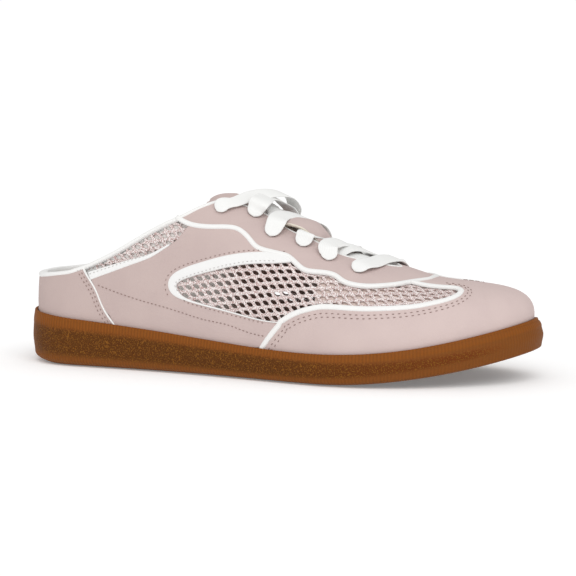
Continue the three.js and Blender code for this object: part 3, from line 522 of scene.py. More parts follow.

# Leather panels: pink-beige nubuck 1.2 mm thick, cut to pattern, drawn over the last and lapped on the net.
# Heel counter, two quarters, toe panel and eyestay, each a grid on the last with its edges rounded over.
# The nap is fine in the bump, with slight mottling, and painted shade darkens the colour towards the heel.
INSTEP = 87.0
SIDE_BULGE = 2.0
crest_share = steady([(.13, 1.195), (.30, 1.149), (.42, 1.0), (.50, .885), (.58, .782), (.66, .690),
                      (.74, .615), (.81, .555), (.89, .531)])
bulge_share = steady([(.13, .25), (.30, .25), (.42, .25), (.50, .50), (.58, .75), (.66, 1.0), (.74, 1.0),
                      (.81, 1.0), (.89, .50)])
side_reach = steady([(.13, .46), (.30, .48), (.42, .50), (.50, .50), (.58, .52), (.66, .55), (.74, .58),
                     (.81, .64), (.89, .75)])
top_reach = steady([(.13, .62), (.30, .70), (.42, .74), (.50, .70), (.58, .66), (.66, .63), (.74, .61),
                    (.81, .60), (.89, .60)])


def along_of(share):
    """The value of along at a share of the length, the inverse of station."""
    return np.arccos(1 - 2 * np.asarray(share, float)) / np.pi


def crest_at(share):
    """Share of the length where a column meets the crest: drawn back at the toe and forward at the heel."""
    front = np.maximum(0, (share - .70) / .30)
    rear = np.maximum(0, 1 - share / .30)
    return share - .11 * front ** 2 + .13 * rear ** 2


def crest_slope(crest):
    """Rise of the crest for each millimetre along the shoe, from two points close by."""
    return INSTEP * (crest_share(crest + 1e-3) - crest_share(crest - 1e-3)) / (2e-3 * LENGTH)


def last_point(along, up, side):
    """Foot plus inward times across, and rim plus height, both cubic in up; straight down below the rim."""
    along, up, side = np.broadcast_arrays(np.asarray(along, float), np.asarray(up, float), side)
    share = station(along)
    foot = plan_point(along, side, rim_setback(share) + LIP_THICKNESS + GAP)
    crest = crest_at(share)
    inward = np.stack([crest * LENGTH, BALL_WIDTH * plan_centre(crest)], -1) - foot
    reach = np.linalg.norm(inward, axis=-1)
    inward = inward / reach[..., None]
    rise = INSTEP * crest_share(crest) - rim_height(share)
    t = np.clip(up, 0, 1)
    near, far = 3 * (1 - t) ** 2 * t, 3 * (1 - t) * t ** 2
    top = top_reach(crest)
    across = far * reach * (1 - top) + t ** 3 * reach - near * SIDE_BULGE * bulge_share(crest)
    slope = crest_slope(crest) * inward[..., 0]
    height = near * side_reach(crest) * rise + far * (rise - top * reach * slope) + t ** 3 * rise
    level = rim_height(share) + height + np.minimum(up, 0) * (CUP_DEPTH - GAP)
    return np.concatenate([foot + inward * across[..., None], level[..., None]], -1)


def last_normal(along, up, side):
    """Outward direction: the cross product of a step along and a step up; on the crest, across its slope."""
    along, up, side = np.broadcast_arrays(np.asarray(along, float), np.asarray(up, float), side)
    pole = (along <= 1e-6) | (along >= 1 - 1e-6)
    used = np.where(pole, LATERAL, side)
    step = 1e-3
    run = (last_point(np.minimum(1, along + step), up, used)
           - last_point(np.maximum(0, along - step), up, used))
    climb = (last_point(along, np.minimum(1, up + step), used)
             - last_point(along, np.minimum(up, 1) - step, used))
    normal = np.cross(run, climb) * -used[..., None]
    normal[pole, 1] = 0
    slope = crest_slope(crest_at(station(along)))
    ridge = np.stack([-slope, np.zeros_like(slope), np.ones_like(slope)], -1)
    normal = np.where((up > .9995)[..., None], ridge, normal)
    return normal / np.linalg.norm(normal, axis=-1, keepdims=True)


def on_last(along, up, side, height):
    """Point of the last, moved out along its normal by a height in millimetres."""
    height = np.asarray(height, float)
    return last_point(along, up, side) + last_normal(along, up, side) * height[..., None]


def surface_uv(base):
    """Millimetres along and up the side, measured from the points themselves."""
    x = base[..., 0]
    climb = np.linalg.norm(np.diff(base, axis=1), axis=-1)
    return np.stack([x, np.concatenate([np.zeros_like(x[:, :1]), np.cumsum(climb, 1)], 1)], -1)


def bordered(along, up, side, high, low, roll=0.45):
    """Points, quads and uv of a sheet over a grid: its top rounds over at the border to its low face."""
    base = last_point(along, up, side)
    normal = last_normal(along, up, side)
    high = np.broadcast_to(np.asarray(high, float), along.shape)
    low = np.broadcast_to(np.asarray(low, float), along.shape)
    rows, cols = along.shape
    ring = border_ring(rows, cols)
    flat, up_flat = base.reshape(-1, 3), normal.reshape(-1, 3)
    edge, edge_normal = flat[ring], up_flat[ring]
    run = np.roll(edge, -1, 0) - np.roll(edge, 1, 0)
    run /= np.maximum(np.linalg.norm(run, axis=-1, keepdims=True), 1e-9)
    inward = np.cross(edge_normal, run)
    turn = np.sign(inward[0] @ (flat[ring[0] + cols + 1] - edge[0]))
    inward *= turn if turn != 0 else 1
    top = flat + up_flat * high.reshape(-1, 1)
    loops = []
    edge_high = high.reshape(-1)[ring][:, None]
    edge_low = low.reshape(-1)[ring][:, None]
    top[ring] = edge + inward * roll + edge_normal * edge_high
    for share in (0.3, 0.65, 1.0):
        angle = share * math.pi / 2
        loops.append(edge + inward * roll * (1 - math.sin(angle))
                     + edge_normal * (edge_high - roll * (1 - math.cos(angle))))
    loops.append(edge + edge_normal * edge_low)
    bottom = flat + up_flat * low.reshape(-1, 1)
    count = len(ring)
    points = np.concatenate([top, *loops, bottom])
    quads = [grid_quads(rows, cols)]
    chain = [ring]
    for k in range(len(loops)):
        chain.append(rows * cols + k * count + np.arange(count))
    chain.append(rows * cols + len(loops) * count + ring)
    for a, b in zip(chain[:-1], chain[1:]):
        quads.append(np.stack([a, b, np.roll(b, -1), np.roll(a, -1)], 1)[:, ::-1])
    quads.append(grid_quads(rows, cols, offset=rows * cols + len(loops) * count)[:, ::-1])
    flat_uv = surface_uv(base).reshape(-1, 2)
    uv = np.concatenate([flat_uv] + [flat_uv[ring]] * len(loops) + [flat_uv])
    return points, np.concatenate(quads), uv


def joined(parts):
    """Several (points, quads, uv) as one."""
    offset = 0
    points, quads, uvs = [], [], []
    for p, q, uv in parts:
        points.append(p)
        quads.append(q + offset)
        uvs.append(uv)
        offset += len(p)
    return np.concatenate(points), np.concatenate(quads), np.concatenate(uvs)


def through(rows, count):
    """Smooth line through (along, up) rows, in even steps from row to row."""
    rows = np.array(rows, float)
    index = np.arange(len(rows))
    at = np.linspace(0, len(rows) - 1, count)
    return np.stack([natural(np.stack([index, column], 1))(at) for column in rows.T], -1)


nubuck = add_grain(material("nubuck", (0.62, 0.50, 0.475), 0.78, 0.25), 1400, 0.35, 0.0004, 4)
nodes, links, shader = nodes_of(nubuck)
cloud = nodes.new("ShaderNodeMapRange")
cloud.inputs["From Min"].default_value = 0.35
cloud.inputs["From Max"].default_value = 0.65
cloud.inputs["To Max"].default_value = 0.6
links.new(noise_node(nodes, links, 60, 4), cloud.inputs["Value"])
mottled = mix_node(nodes, links, cloud.outputs["Result"], (.62, .50, .475), (.5766, .46, .44175))
# Painted shade: the leather's colour is multiplied down towards the heel, which lies more in shade than the
# toe.
heel_shade_ramp = mix_node(nodes, links, ramp_node(nodes, links, along_shoe(nodes, links), -.125, .125),
                   (.84, .825, .815), (1.0, 1.0, 1.0))
painted_heel_shade = nodes.new("ShaderNodeMix")
painted_heel_shade.data_type = "RGBA"
painted_heel_shade.blend_type = "MULTIPLY"
painted_heel_shade.inputs["Factor"].default_value = 1.0
links.new(mottled, painted_heel_shade.inputs["A"])
links.new(heel_shade_ramp, painted_heel_shade.inputs["B"])
links.new(painted_heel_shade.outputs["Result"], shader.inputs["Base Color"])

# Lines of the pattern as (along, up), and for the tapes a share of their width.
TOPLINE = [(0, .160), (.076, .162), (.210, .200), (.247, .232), (.295, .302), (.349, .418), (.398, .553),
           (.425, .690), (.446, .830)]
THROAT = [(.446, .830), (.466, .885), (.486, .930), (.503, .920), (.530, .872), (.552, .880), (.572, .855),
          (.590, .835), (.610, .850), (.635, .890), (.655, .945), (.664, 1.0)]
EYESTAY = [(.392, .541), (.411, .533), (.434, .564), (.457, .618), (.472, .645), (.484, .629), (.493, .598),
           (.505, .583), (.528, .606), (.541, .606), (.554, .568), (.567, .556), (.586, .586), (.600, .590),
           (.611, .561), (.624, .552), (.642, .568), (.662, .614), (.681, .685), (.701, .800), (.7175, .910),
           (.7210, 1.0)]
NET_LOW = [(.397, .215), (.402, .182), (.412, .165), (.430, .156), (.520, .154), (.540, .165), (.560, .239),
           (.581, .293), (.602, .325), (.641, .347), (.671, .371), (.703, .405), (.737, .452), (.768, .513),
           (.786, .590), (.792, .665)]
NET_TIP = [(.792, .665), (.786, .715), (.772, .742), (.751, .747), (.727, .753), (.705, .760), (.693, .765)]
WINDOW_TAPE = [(.543, .600, .60), (.532, .577, .82), (.519, .549, .95), (.503, .515, 1), (.482, .461, 1),
               (.458, .396, 1), (.434, .335, .95), (.413, .286, .90), (.399, .250, .85), (.393, .220, .80),
               (.394, .193, .68), (.400, .174, .48), (.409, .163, .25)]
REAR_TAPE = [(.261, .199, 1), (.300, .244, .85), (.335, .288, .66), (.362, .328, .44), (.386, .390, .20)]
COUNTER_SEAM = [(.247, .240), (.255, .205), (.273, .143), (.287, .067), (.305, 0)]
TOE_SEAM = [(.516, 0), (.526, .069), (.540, .155)]
topline_up = steady(TOPLINE)
throat_up = steady(THROAT)
eyestay_up = steady(EYESTAY)
HIDDEN = -0.15


def counter_grid():
    """Round the heel from seam to seam, and from under the rim to the topline, in straight shares."""
    rows = np.linspace(HIDDEN, .232, 26)
    seam = steady([(HIDDEN, .3075)] + [(up, along) for along, up in COUNTER_SEAM[::-1]])(rows)
    around = np.linspace(-1, 1, 121)[:, None]
    top = topline_up(np.abs(around) * .247)
    share = (rows - HIDDEN) / (.232 - HIDDEN)
    side = np.where(around < 0, LATERAL, MEDIAL) + 0 * rows
    return np.abs(around) * seam, HIDDEN + (top - HIDDEN) * share, side


def quarter_grid(side):
    """Straight lines from the window's edge to the panel's outline, both run round the same way."""
    tape = [row[:2] for row in WINDOW_TAPE[::-1]]
    window = np.concatenate([
        through([row for row in NET_LOW[::-1] if .42 < row[0] <= .541], 30)[:-1],
        through([(.430, .156)] + tape[:6], 30)[:-1],
        through(tape[5:], 44)])
    rear = [(.262, .194)] + [row[:2] for row in REAR_TAPE[1:]] + [(.398, .440), (.411, .533)]
    outer = np.concatenate([
        np.linspace((.4935, HIDDEN), (.3075, HIDDEN), 30)[:-1],
        through([(.3075, HIDDEN), (.305, 0), (.287, .067), (.273, .143), (.262, .194)], 18)[:-1],
        through(rear, 33)[:-1],
        through(EYESTAY[1:9] + [(.534, .608)], 24)])
    share = np.linspace(0, 1, 24)[None, :, None]
    grid = window[:, None] * (1 - share) + outer[:, None] * share
    return grid[..., 0], grid[..., 1], np.full(grid.shape[:2], side)


def both_sides(half):
    """Grid of both sides from that of the outer side, whose last row lies on the crest."""
    grid = np.concatenate([half, half[-2::-1]])
    side = np.full(grid.shape[:2], LATERAL)
    side[len(half):] = MEDIAL
    return grid[..., 0], np.minimum(grid[..., 1], 1), side


def toe_grid():
    """From the seam to a middle line over the toe, and on to the foot in the cup; then the other side."""
    low = [row for row in NET_LOW if row[0] > .53]
    seam = np.concatenate([
        through(low, 60)[:-1], through(NET_TIP, 24)[:-1],
        through([(.693, .765), (.701, .800), (.7175, .910), (.7210, 1.0)], 24)])
    at = np.concatenate([np.linspace(0, 59 / 60, 59), np.linspace(1, 2 - 1 / 24, 23), np.linspace(2, 3, 24)])
    middle = np.stack([
        steady([(0, .5168), (.5, .670), (1, .830), (1.25, .850), (2, .880), (2.5, .93), (3, 1.0)])(at),
        steady([(0, .0025), (.5, .10), (1, .35), (1.25, .75), (2, .85), (2.5, .95), (3, 1.0)])(at)], -1)
    foot_along = steady([(0, .4935), (.5, .66), (1, .83), (2, .90), (3, 1.0)])(at)
    foot = np.stack([foot_along, np.full(len(at), HIDDEN)], -1)
    a = np.linspace(0, 1, 22)[None, :-1, None]
    b = np.linspace(0, 1, 16)[None, :, None]
    half = np.concatenate([seam[:, None] * (1 - a) + middle[:, None] * a,
                           middle[:, None] * (1 - b) + foot[:, None] * b], 1)
    return both_sides(half)


def eyestay_grid():
    """Straight lines from the throat and topline out to the wavy edge; then the same on the other side."""
    top = [row for row in TOPLINE if row[0] >= .39]
    inner = np.concatenate([through([(.392, .536)] + top, 34)[:-1], through(THROAT, 96)])
    outer = np.concatenate([through(EYESTAY[:3], 34)[:-1], through(EYESTAY[2:], 96)])
    share = np.linspace(0, 1, 34)[None, :, None]
    half = inner[:, None] * (1 - share) + outer[:, None] * share
    return both_sides(half)


def leather_panel(name, grid):
    """Leather sheet over a grid, from the last's surface down by its thickness."""
    points, quads, uv = bordered(*grid, 0.0, -LEATHER)
    return finish_piece(name, points, quads, uv, nubuck, "nubuck")


counter = leather_panel("heel_counter_leather", counter_grid())
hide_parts("heel_counter")
for side, name in ((LATERAL, "lateral"), (MEDIAL, "medial")):
    quarter = leather_panel(f"quarter_{name}_leather", quarter_grid(side))
    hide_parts(f"quarter_{name}")
toe = leather_panel("toe_leather", toe_grid())
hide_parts("toe_panel")
eyestay = leather_panel("eyestay_leather", eyestay_grid())
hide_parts("eyestay")

# Eyelets: six a side, punched with a round tool through eyestay and lining, with no metal ring.
# They stand even along the shoe, and the lace goes down through them.
EYELET_RADIUS = 2.1
PUNCH_POINTS = 24
EYELET_PLACES = {
    LATERAL: [(.4463, .737), (.4843, .850), (.5117, .746), (.5490, .775), (.5833, .737), (.6229, .711)],
    MEDIAL: [(.4463, .737), (.4790, .760), (.5117, .746), (.5470, .745), (.5850, .737), (.6300, .711)],
}


def punch(piece, radius):
    """Cuts round holes at the eyelets through a piece."""
    rim = np.linspace(0, 2 * np.pi, PUNCH_POINTS, endpoint=False)
    parts = []
    for side, places in EYELET_PLACES.items():
        for along, up in places:
            centre, normal = last_point(along, up, side), last_normal(along, up, side)
            across = np.cross(normal, (1.0, 0, 0))
            across /= np.linalg.norm(across)
            forward = np.cross(across, normal)
            ring = centre + radius * (np.cos(rim)[:, None] * across + np.sin(rim)[:, None] * forward)
            middle = np.repeat(centre[None], PUNCH_POINTS, 0)
            discs = [middle - 6 * normal, ring - 6 * normal, ring + 4 * normal, middle + 4 * normal]
            points = np.concatenate(discs)
            parts.append((points, grid_quads(4, PUNCH_POINTS, wrap_cols=True), np.zeros((len(points), 2))))
    points, quads, _ = joined(parts)
    cutter = finish_piece("punch", points, quads, smooth_faces=False)
    cut = piece.modifiers.new("eyelets", "BOOLEAN")
    cut.object = cutter
    cut.solver = "EXACT"
    bpy.context.view_layer.update()
    evaluated = piece.evaluated_get(bpy.context.evaluated_depsgraph_get())
    mesh = bpy.data.meshes.new_from_object(evaluated)
    piece.modifiers.clear()
    old = piece.data
    piece.data = mesh
    bpy.data.meshes.remove(old)
    bpy.data.objects.remove(cutter)


punch(eyestay, EYELET_RADIUS)

# Lining: thin cloth glued behind the leather, open where the net is.
# More of it backs the nets where the photograph shows no light through them. It is pale at the heel,
# dark under the instep with painted shade of the shadowed inside, and pink-beige in front.
lining_cloth = add_grain(material("lining_cloth", (0.72, 0.64, 0.60), 0.95, 0.1), 2600, 0.4, 0.0003)
nodes, links, shader = nodes_of(lining_cloth)
shoe_x = along_shoe(nodes, links)
lining_tone = (.86, .85, .83)
# Painted shade: the middle tone darkens the lining under the instep, where the inside of the shoe lies in
# shadow.
LINING_TONES = [
    (-.085, -.055, (.80, .77, .74)), (-.044, -.026, (.30, .20, .17)), (.0, .014, (.72, .60, .55))]
for start, end, tone in LINING_TONES:
    lining_tone = mix_node(nodes, links, ramp_node(nodes, links, shoe_x, start, end), lining_tone, tone)
links.new(lining_tone, shader.inputs["Base Color"])
parts = [bordered(*grid, -2.35, -2.95, 0.25) for grid in
         (counter_grid(), quarter_grid(LATERAL), quarter_grid(MEDIAL), toe_grid(), eyestay_grid())]


def backing(first, last, low, high, side):
    """Sheet of cloth behind the net, between two levels that are functions of along."""
    along = np.linspace(first, last, 60)[:, None] + np.zeros((1, 24))
    share = np.linspace(0, 1, 24)[None, :]
    up = np.minimum(low(along) + (high(along) - low(along)) * share, 1)
    return bordered(along, up, np.full(up.shape, side), -2.45, -2.95, 0.25)


rear_floor = steady([(.238, .14), (.262, .16)] + [(along, up - .02) for along, up, _ in REAR_TAPE[1:]]
                    + [(.412, .490)])
window_floor = steady([(along, up - .02) for along, up in NET_LOW])
window_roof = steady([(.385, .40), (.411, .50), (.46, .60), (.642, .60), (.70, .78), (.80, .76)])
for side in (LATERAL, MEDIAL):
    parts.append(backing(.238, .432, rear_floor, lambda along: topline_up(along) - .012, side))
parts.append(backing(.580, .796, window_floor, window_roof, LATERAL))
parts.append(backing(.396, .796, lambda along: np.minimum(.215, window_roof(along)), window_roof, MEDIAL))
parts.append(backing(.396, .470, window_floor, lambda along: .225 + 0 * along, MEDIAL))
parts.append(backing(
    .512, .796, window_floor, lambda along: np.maximum(.225, window_floor(along) + .02), MEDIAL))
lining = finish_piece("lining", *joined(parts), material=lining_cloth, slot="net")
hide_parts("upper")
punch(lining, EYELET_RADIUS)

# Net: a thick openwork knit of twisted pink and white yarn, sewn behind the panels.
# Its slanting holes stand in rows. Each has a tile, bounded halfway to its six neighbours, whose surface
# rolls down into the hole, so that the tiles make one sheet.
NET_TOP, NET_DEPTH = -1.15, 1.1
HOLE_PITCH, ROW_PITCH = 4.35, 3.85
HOLE_LONG, HOLE_SHORT = 2.0, 1.0
ROW_SLOPE = math.radians(9.0)
HOLE_TILT = math.radians(-30.0)
SPOKES = 30
column_x = np.linspace(40, 246, 207)
column_along = along_of(column_x / LENGTH)
column_up = np.linspace(0, 1, 220)
level_grid = np.arange(0, 150, 0.5)


def net_map(side):
    """Turns distance along the shoe and height by arc from the floor into along and up on one side."""
    base = last_point(column_along[:, None], column_up[None], side)
    climb = np.cumsum(np.linalg.norm(np.diff(base, axis=1), axis=-1), 1)
    arc = np.concatenate([np.zeros((len(column_x), 1)), climb], 1) + rim_height(column_x / LENGTH)[:, None]
    table = np.stack([np.interp(level_grid, row, column_up) for row in arc])

    def place(x, level):
        k = np.clip((x - column_x[0]) / (column_x[1] - column_x[0]), 0, len(column_x) - 1.001)
        m = np.clip(level / 0.5, 0, len(level_grid) - 1.001)
        i, j = k.astype(int), m.astype(int)
        a, b = k - i, m - j
        up = ((1 - a) * (1 - b) * table[i, j] + a * (1 - b) * table[i + 1, j]
              + (1 - a) * b * table[i, j + 1] + a * b * table[i + 1, j + 1])
        return along_of(x / LENGTH), up
    return place


tape_up = steady(sorted((row[0], row[1]) for row in WINDOW_TAPE[:9]))
tip_up = steady(sorted(NET_TIP))
net_low = steady(NET_LOW)
rear_low = steady([(.262, .200)] + [row[:2] for row in REAR_TAPE[1:]] + [(.412, .520)])


def net_wanted(along, up):
    """Whether a hole lies in the window or in the rear opening, with a margin that the trims cover."""
    margin = .03
    high = np.where(along < .534, np.minimum(tape_up(along), eyestay_up(along)),
                    np.where(along < .693, eyestay_up(along), tip_up(along)))
    window = (along > .388) & (along < .800) & (up > net_low(along) - margin) & (up < high + margin)
    rear_high = np.where(along < .392, topline_up(along), np.minimum(topline_up(along), eyestay_up(along)))
    rear = (along > .255) & (along < .415) & (up > rear_low(along) - margin) & (up < rear_high - .014)
    return window | rear


def net_piece(side):
    """Net of one side: a lattice of holes, each with rings of points from its rim to its tile's border."""
    cos, sin = math.cos(ROW_SLOPE), math.sin(ROW_SLOPE)
    rows, cols = np.meshgrid(np.arange(-20, 60), np.arange(-5, 60), indexing="ij")
    u = (cols + 0.5 * (rows % 2)) * HOLE_PITCH
    w = rows * ROW_PITCH
    centre = np.stack([u * cos - w * sin, u * sin + w * cos], -1).reshape(-1, 2)
    centre = centre[(centre[:, 0] > 45) & (centre[:, 0] < 242) & (centre[:, 1] > 14) & (centre[:, 1] < 140)]
    place = net_map(side)
    along, up = place(centre[:, 0], centre[:, 1])
    centre = centre[net_wanted(along, up) & (up < .999)]
    spoke = np.linspace(0, 2 * np.pi, SPOKES, endpoint=False)
    direction = np.stack([np.cos(spoke), np.sin(spoke)], -1)
    around = np.array([(1, 0), (-1, 0), (.5, 1), (-.5, 1), (.5, -1), (-.5, -1)]) * (HOLE_PITCH, ROW_PITCH)
    reach = direction @ around.T
    border = np.where(reach > 1e-6, (around ** 2).sum(1) / (2 * np.maximum(reach, 1e-6)), 1e9).min(1)
    tilted = spoke - HOLE_TILT
    reach_long, reach_short = np.abs(np.cos(tilted)) / HOLE_LONG, np.abs(np.sin(tilted)) / HOLE_SHORT
    hole = (reach_long ** 1.5 + reach_short ** 1.5) ** (-1 / 1.5)
    hole = np.minimum(hole, border * .86)
    rings = [(.5, -NET_DEPTH), (.12, -.9 * NET_DEPTH), (0, -.5 * NET_DEPTH), (.06, -.22), (.22, -.06),
             (.45, .02), (.72, -.03), (1.0, -.12)]
    local = []
    for share, level in rings:
        radius = hole + (border - hole) * share
        yarn = .10 * math.sin(9 * share) * np.cos(spoke * 9 + share * 14)
        local.append(np.concatenate([direction * radius[:, None], (NET_TOP + level + yarn)[:, None]], 1))
    back = np.concatenate([direction * border[:, None], np.full((SPOKES, 1), NET_TOP - NET_DEPTH * .95)], 1)
    local = np.stack([back] + local)
    turn = np.array([[cos, sin], [-sin, cos]])
    flat = local[..., :2] @ turn
    x = centre[:, 0, None, None] + flat[None, ..., 0]
    level = centre[:, 1, None, None] + flat[None, ..., 1]
    along, up = place(x, level)
    points = on_last(along, up, side, np.broadcast_to(local[None, ..., 2], x.shape))
    one = grid_quads(len(local), SPOKES, wrap_cols=True)
    quads = (one[None] + (np.arange(len(centre)) * len(local) * SPOKES)[:, None, None]).reshape(-1, 4)
    uv = np.stack([x, level], -1)
    name = "lateral" if side < 0 else "medial"
    made = finish_piece(f"net_{name}", points.reshape(-1, 3), quads, uv.reshape(-1, 2), net_yarn, "net")
    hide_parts("upper")


net_yarn = material("net_yarn", (0.75, 0.62, 0.60), 0.9, 0.2)
nodes, links, shader = nodes_of(net_yarn)
twist = noise_node(nodes, links, 1900, 1.5)
pink_to_white = ramp_node(nodes, links, twist, 0.42, 0.58)
yarn_colour = mix_node(nodes, links, pink_to_white, (.49, .34, .32), (.88, .82, .80))
links.new(yarn_colour, shader.inputs["Base Color"])
add_bump(nodes, links, shader, twist, 0.9, 0.0004)
net_piece(LATERAL)
net_piece(MEDIAL)

# White trims: strips of smooth leather, folded along both edges and sewn over the seams.
# Rounded piping runs round the eyestay, the toe panel and the counter, and flat tapes along the windows.
TRIM_FOOT = -0.9
EYESTAY_PIPING_WIDTH, TOE_PIPING_WIDTH, COUNTER_PIPING_WIDTH = 2.6, 2.9, 0.95
WINDOW_TAPE_WIDTH, REAR_TAPE_WIDTH = 6, 4.2
WINDOW_FOLD = [(.430, .156, .14), (.475, .155, .11), (.520, .154, .09), (.541, .165, .09)]
white = add_grain(material("white_trim", (0.83, 0.825, 0.81), 0.55, 0.35), 900, 0.15, 0.0003)
white_tape = add_grain(material("white_tape", (0.82, 0.815, 0.805), 0.7, 0.25), 2500, 0.2, 0.0002)


def capped(section):
    """Closes a swept section: at each end one more loop is drawn together to its middle."""
    middle = section.mean(1, keepdims=True).repeat(section.shape[1], 1)
    return np.concatenate([middle[:1], section, middle[-1:]])


def strip(path, side, width, high, low, power=2.6, steps=9, closed=False):
    """Rounded strip swept along a path on the last; width and heights are numbers or one for each point."""
    path = np.asarray(path, float)
    along, up = path[:, 0], path[:, 1]
    side = np.broadcast_to(side, along.shape)
    base, normal = last_point(along, up, side), last_normal(along, up, side)
    if closed:
        run = np.roll(base, -1, 0) - np.roll(base, 1, 0)
    else:
        run = np.gradient(base, axis=0)
    beside = np.cross(run, normal)
    beside /= np.linalg.norm(beside, axis=-1, keepdims=True)
    high, low = np.broadcast_to(high, along.shape), np.broadcast_to(low, along.shape)
    half = np.broadcast_to(width, along.shape) / 2
    turn = np.linspace(0, np.pi, steps)
    across = -np.sign(np.cos(turn)) * np.abs(np.cos(turn)) ** (2 / power)
    over = np.abs(np.sin(turn)) ** (2 / power)
    offset = np.concatenate([across, [1.0, -1.0]])
    section = (base[:, None] + beside[:, None] * (half[:, None] * offset)[..., None])
    rise = (high - low)[:, None]
    level = np.concatenate([rise * over * .75 + rise * .25 + low[:, None], low[:, None], low[:, None]], 1)
    section = section + normal[:, None] * level[..., None]
    if not closed:
        section = capped(section)
    rows, count = section.shape[:2]
    length = np.concatenate([[0], np.cumsum(np.linalg.norm(np.diff(section[:, 0], axis=0), axis=-1))])
    uv = np.stack(np.broadcast_arrays(length[:, None], np.linspace(0, 10, count)[None]), -1)
    quads = grid_quads(rows, count, wrap_rows=closed, wrap_cols=True)
    return section.reshape(-1, 3), quads, uv.reshape(-1, 2)


def mirrored(path):
    """The path of the outer side, over the crest, and back along the inner side."""
    path = np.asarray(path)
    side = np.concatenate([np.full(len(path), LATERAL), np.full(len(path) - 1, MEDIAL)])
    return np.concatenate([path, path[-2::-1]]), side


def add_trim(name, parts, paint, *nodes):
    """Joins swept strips into one white piece that stands for the given nodes."""
    points, quads, uv = joined(parts)
    piece = finish_piece(name, points, quads, uv, paint, "white_trim")
    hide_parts(*nodes)


wave, wave_side = mirrored(np.minimum(through(EYESTAY, 240), [1, 1]))
add_trim("eyestay_piping_strip", [strip(wave, wave_side, EYESTAY_PIPING_WIDTH, 0.75, TRIM_FOOT)], white,
         "eyestay_piping")
for side, name in ((LATERAL, "lateral"), (MEDIAL, "medial")):
    path = np.concatenate([
        [(.5145, HIDDEN)], through(TOE_SEAM, 16)[:-1],
        through([row for row in NET_LOW if row[0] >= .54], 120), through(NET_TIP, 50)[1:]])
    add_trim(f"toe_piping_strip_{name}", [strip(path, side, TOE_PIPING_WIDTH, 0.7, TRIM_FOOT)], white,
             f"toe_piping_{name}")
    tape = through(WINDOW_TAPE + WINDOW_FOLD, 160)
    width = WINDOW_TAPE_WIDTH * tape[:, 2]
    add_trim(f"window_tape_strip_{name}", [strip(tape[:, :2], side, width, 0.42, TRIM_FOOT, 4.0, 13)],
             white_tape, f"window_tape_{name}")
    tape = through(REAR_TAPE, 60)
    width = REAR_TAPE_WIDTH * tape[:, 2]
    add_trim(f"rear_tape_strip_{name}", [strip(tape[:, :2], side, width, 0.4, TRIM_FOOT, 4.0, 11)],
             white_tape, f"rear_tape_{name}")
    path = np.concatenate([through(COUNTER_SEAM, 60), [(.3075, HIDDEN)]])
    piping = strip(path, side, COUNTER_PIPING_WIDTH, 0.45, TRIM_FOOT)
    add_trim(f"counter_piping_strip_{name}", [piping], white, f"counter_piping_{name}")

# Binding: one strip of white leather rolled over the edge of the collar and sewn down.
# It is wider round the heel and narrower round the throat.
collar = np.stack([np.linspace(0, .446, 140)[:-1], topline_up(np.linspace(0, .446, 140)[:-1])], 1)
opening = np.concatenate([collar, np.minimum(through(THROAT, 110), [1, 1])])
loop = np.concatenate([opening, opening[-2:0:-1]])
loop_side = np.concatenate([np.full(len(opening), LATERAL), np.full(len(opening) - 2, MEDIAL)])
to_throat = smooth((loop[:, 0] - .426) / .04)
to_heel = smooth((.20 - loop[:, 0]) / .12)
width = 2.7 - 1.2 * to_throat + .8 * to_heel
binding = strip(loop, loop_side, width, 0.45, -3.5 - .8 * to_heel, 2.4, 13, closed=True)
add_trim("collar_binding", [binding], white, "topline_binding")

# Tongue: a padded flap of nubuck under the throat, round at the top.
# Its keeper is a band of the same leather, sewn on at its ends, that arches over one lace.
# The band is lined in cream, and the cut edges show the same colour.
TONGUE_START, TONGUE_THICKNESS = .382, 2.6
TONGUE_FACE = -4.0
tongue_end = steady([
    (.382, -11.0), (.390, -7.0), (.400, -4.2), (.411, -2.3), (.424, -.7), (.444, .2), (.480, 0)])


def tongue_top(along, up):
    """Height of the tongue's face: low in the throat, raised at its sides, drawn down at its end."""
    share = station(along)
    beside = smooth((up - throat_up(along) - .05) / .09)
    front = smooth((station(.664) - share) / .09)
    rear = smooth((.480 - share) / .04)
    ridge = smooth((up - .92) / .06) * smooth((.462 - share) / .03)
    end = (tongue_end(share) + 1.5 * ridge - TONGUE_FACE) * rear
    return TONGUE_FACE + 2.4 * beside * front * (1 - rear) + end


share = np.linspace(0, 1, 110)[:, None]
at = TONGUE_START + (.800 - TONGUE_START) * share
roundness = np.clip((at - TONGUE_START) / .040, 0, 1)
half_up = .38 * np.maximum(.14, np.sqrt(1 - (1 - roundness) ** 2))
across = np.linspace(-1, 1, 61)[None, :]
along = along_of(at) + 0 * across
up = 1 - half_up * np.abs(across)
side = np.where(across < 0, LATERAL, MEDIAL) + 0 * at
top = tongue_top(along, up)
points, quads, uv = bordered(along, up, side, top, top - TONGUE_THICKNESS, 1.1)
tongue = finish_piece("tongue_flap", points, quads, uv, nubuck, "nubuck")
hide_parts("tongue")
near_edge = np.array([(139.4, -14.0, 70.0), (139.7, -14.4, 72.8), (141.9, -14.6, 73.9), (146.3, -14.6, 73.2),
                      (150.7, -13.6, 71.5), (154.1, -12.0, 68.5), (157.0, -10.4, 65.4), (159.0, -9.0, 62.6)])
far_edge = np.array([(138.2, 2.5, 69.5), (138.6, 2.5, 72.8), (140.6, 2.5, 74.4), (146.2, 2.5, 74.3),
                     (151.8, 2.5, 73.0), (155.4, 2.5, 70.1), (158.2, 2.5, 66.8), (160.5, 2.5, 62.5)])
t = np.linspace(0, 7, 60)
near_line, far_line = [np.stack([natural(np.stack([np.arange(8), column], 1))(t) for column in edge.T], -1)
                       for edge in (near_edge, far_edge)]
w = np.linspace(0, 1, 21)
sheet = near_line[:, None] * (1 - w)[None, :, None] + far_line[:, None] * w[None, :, None]
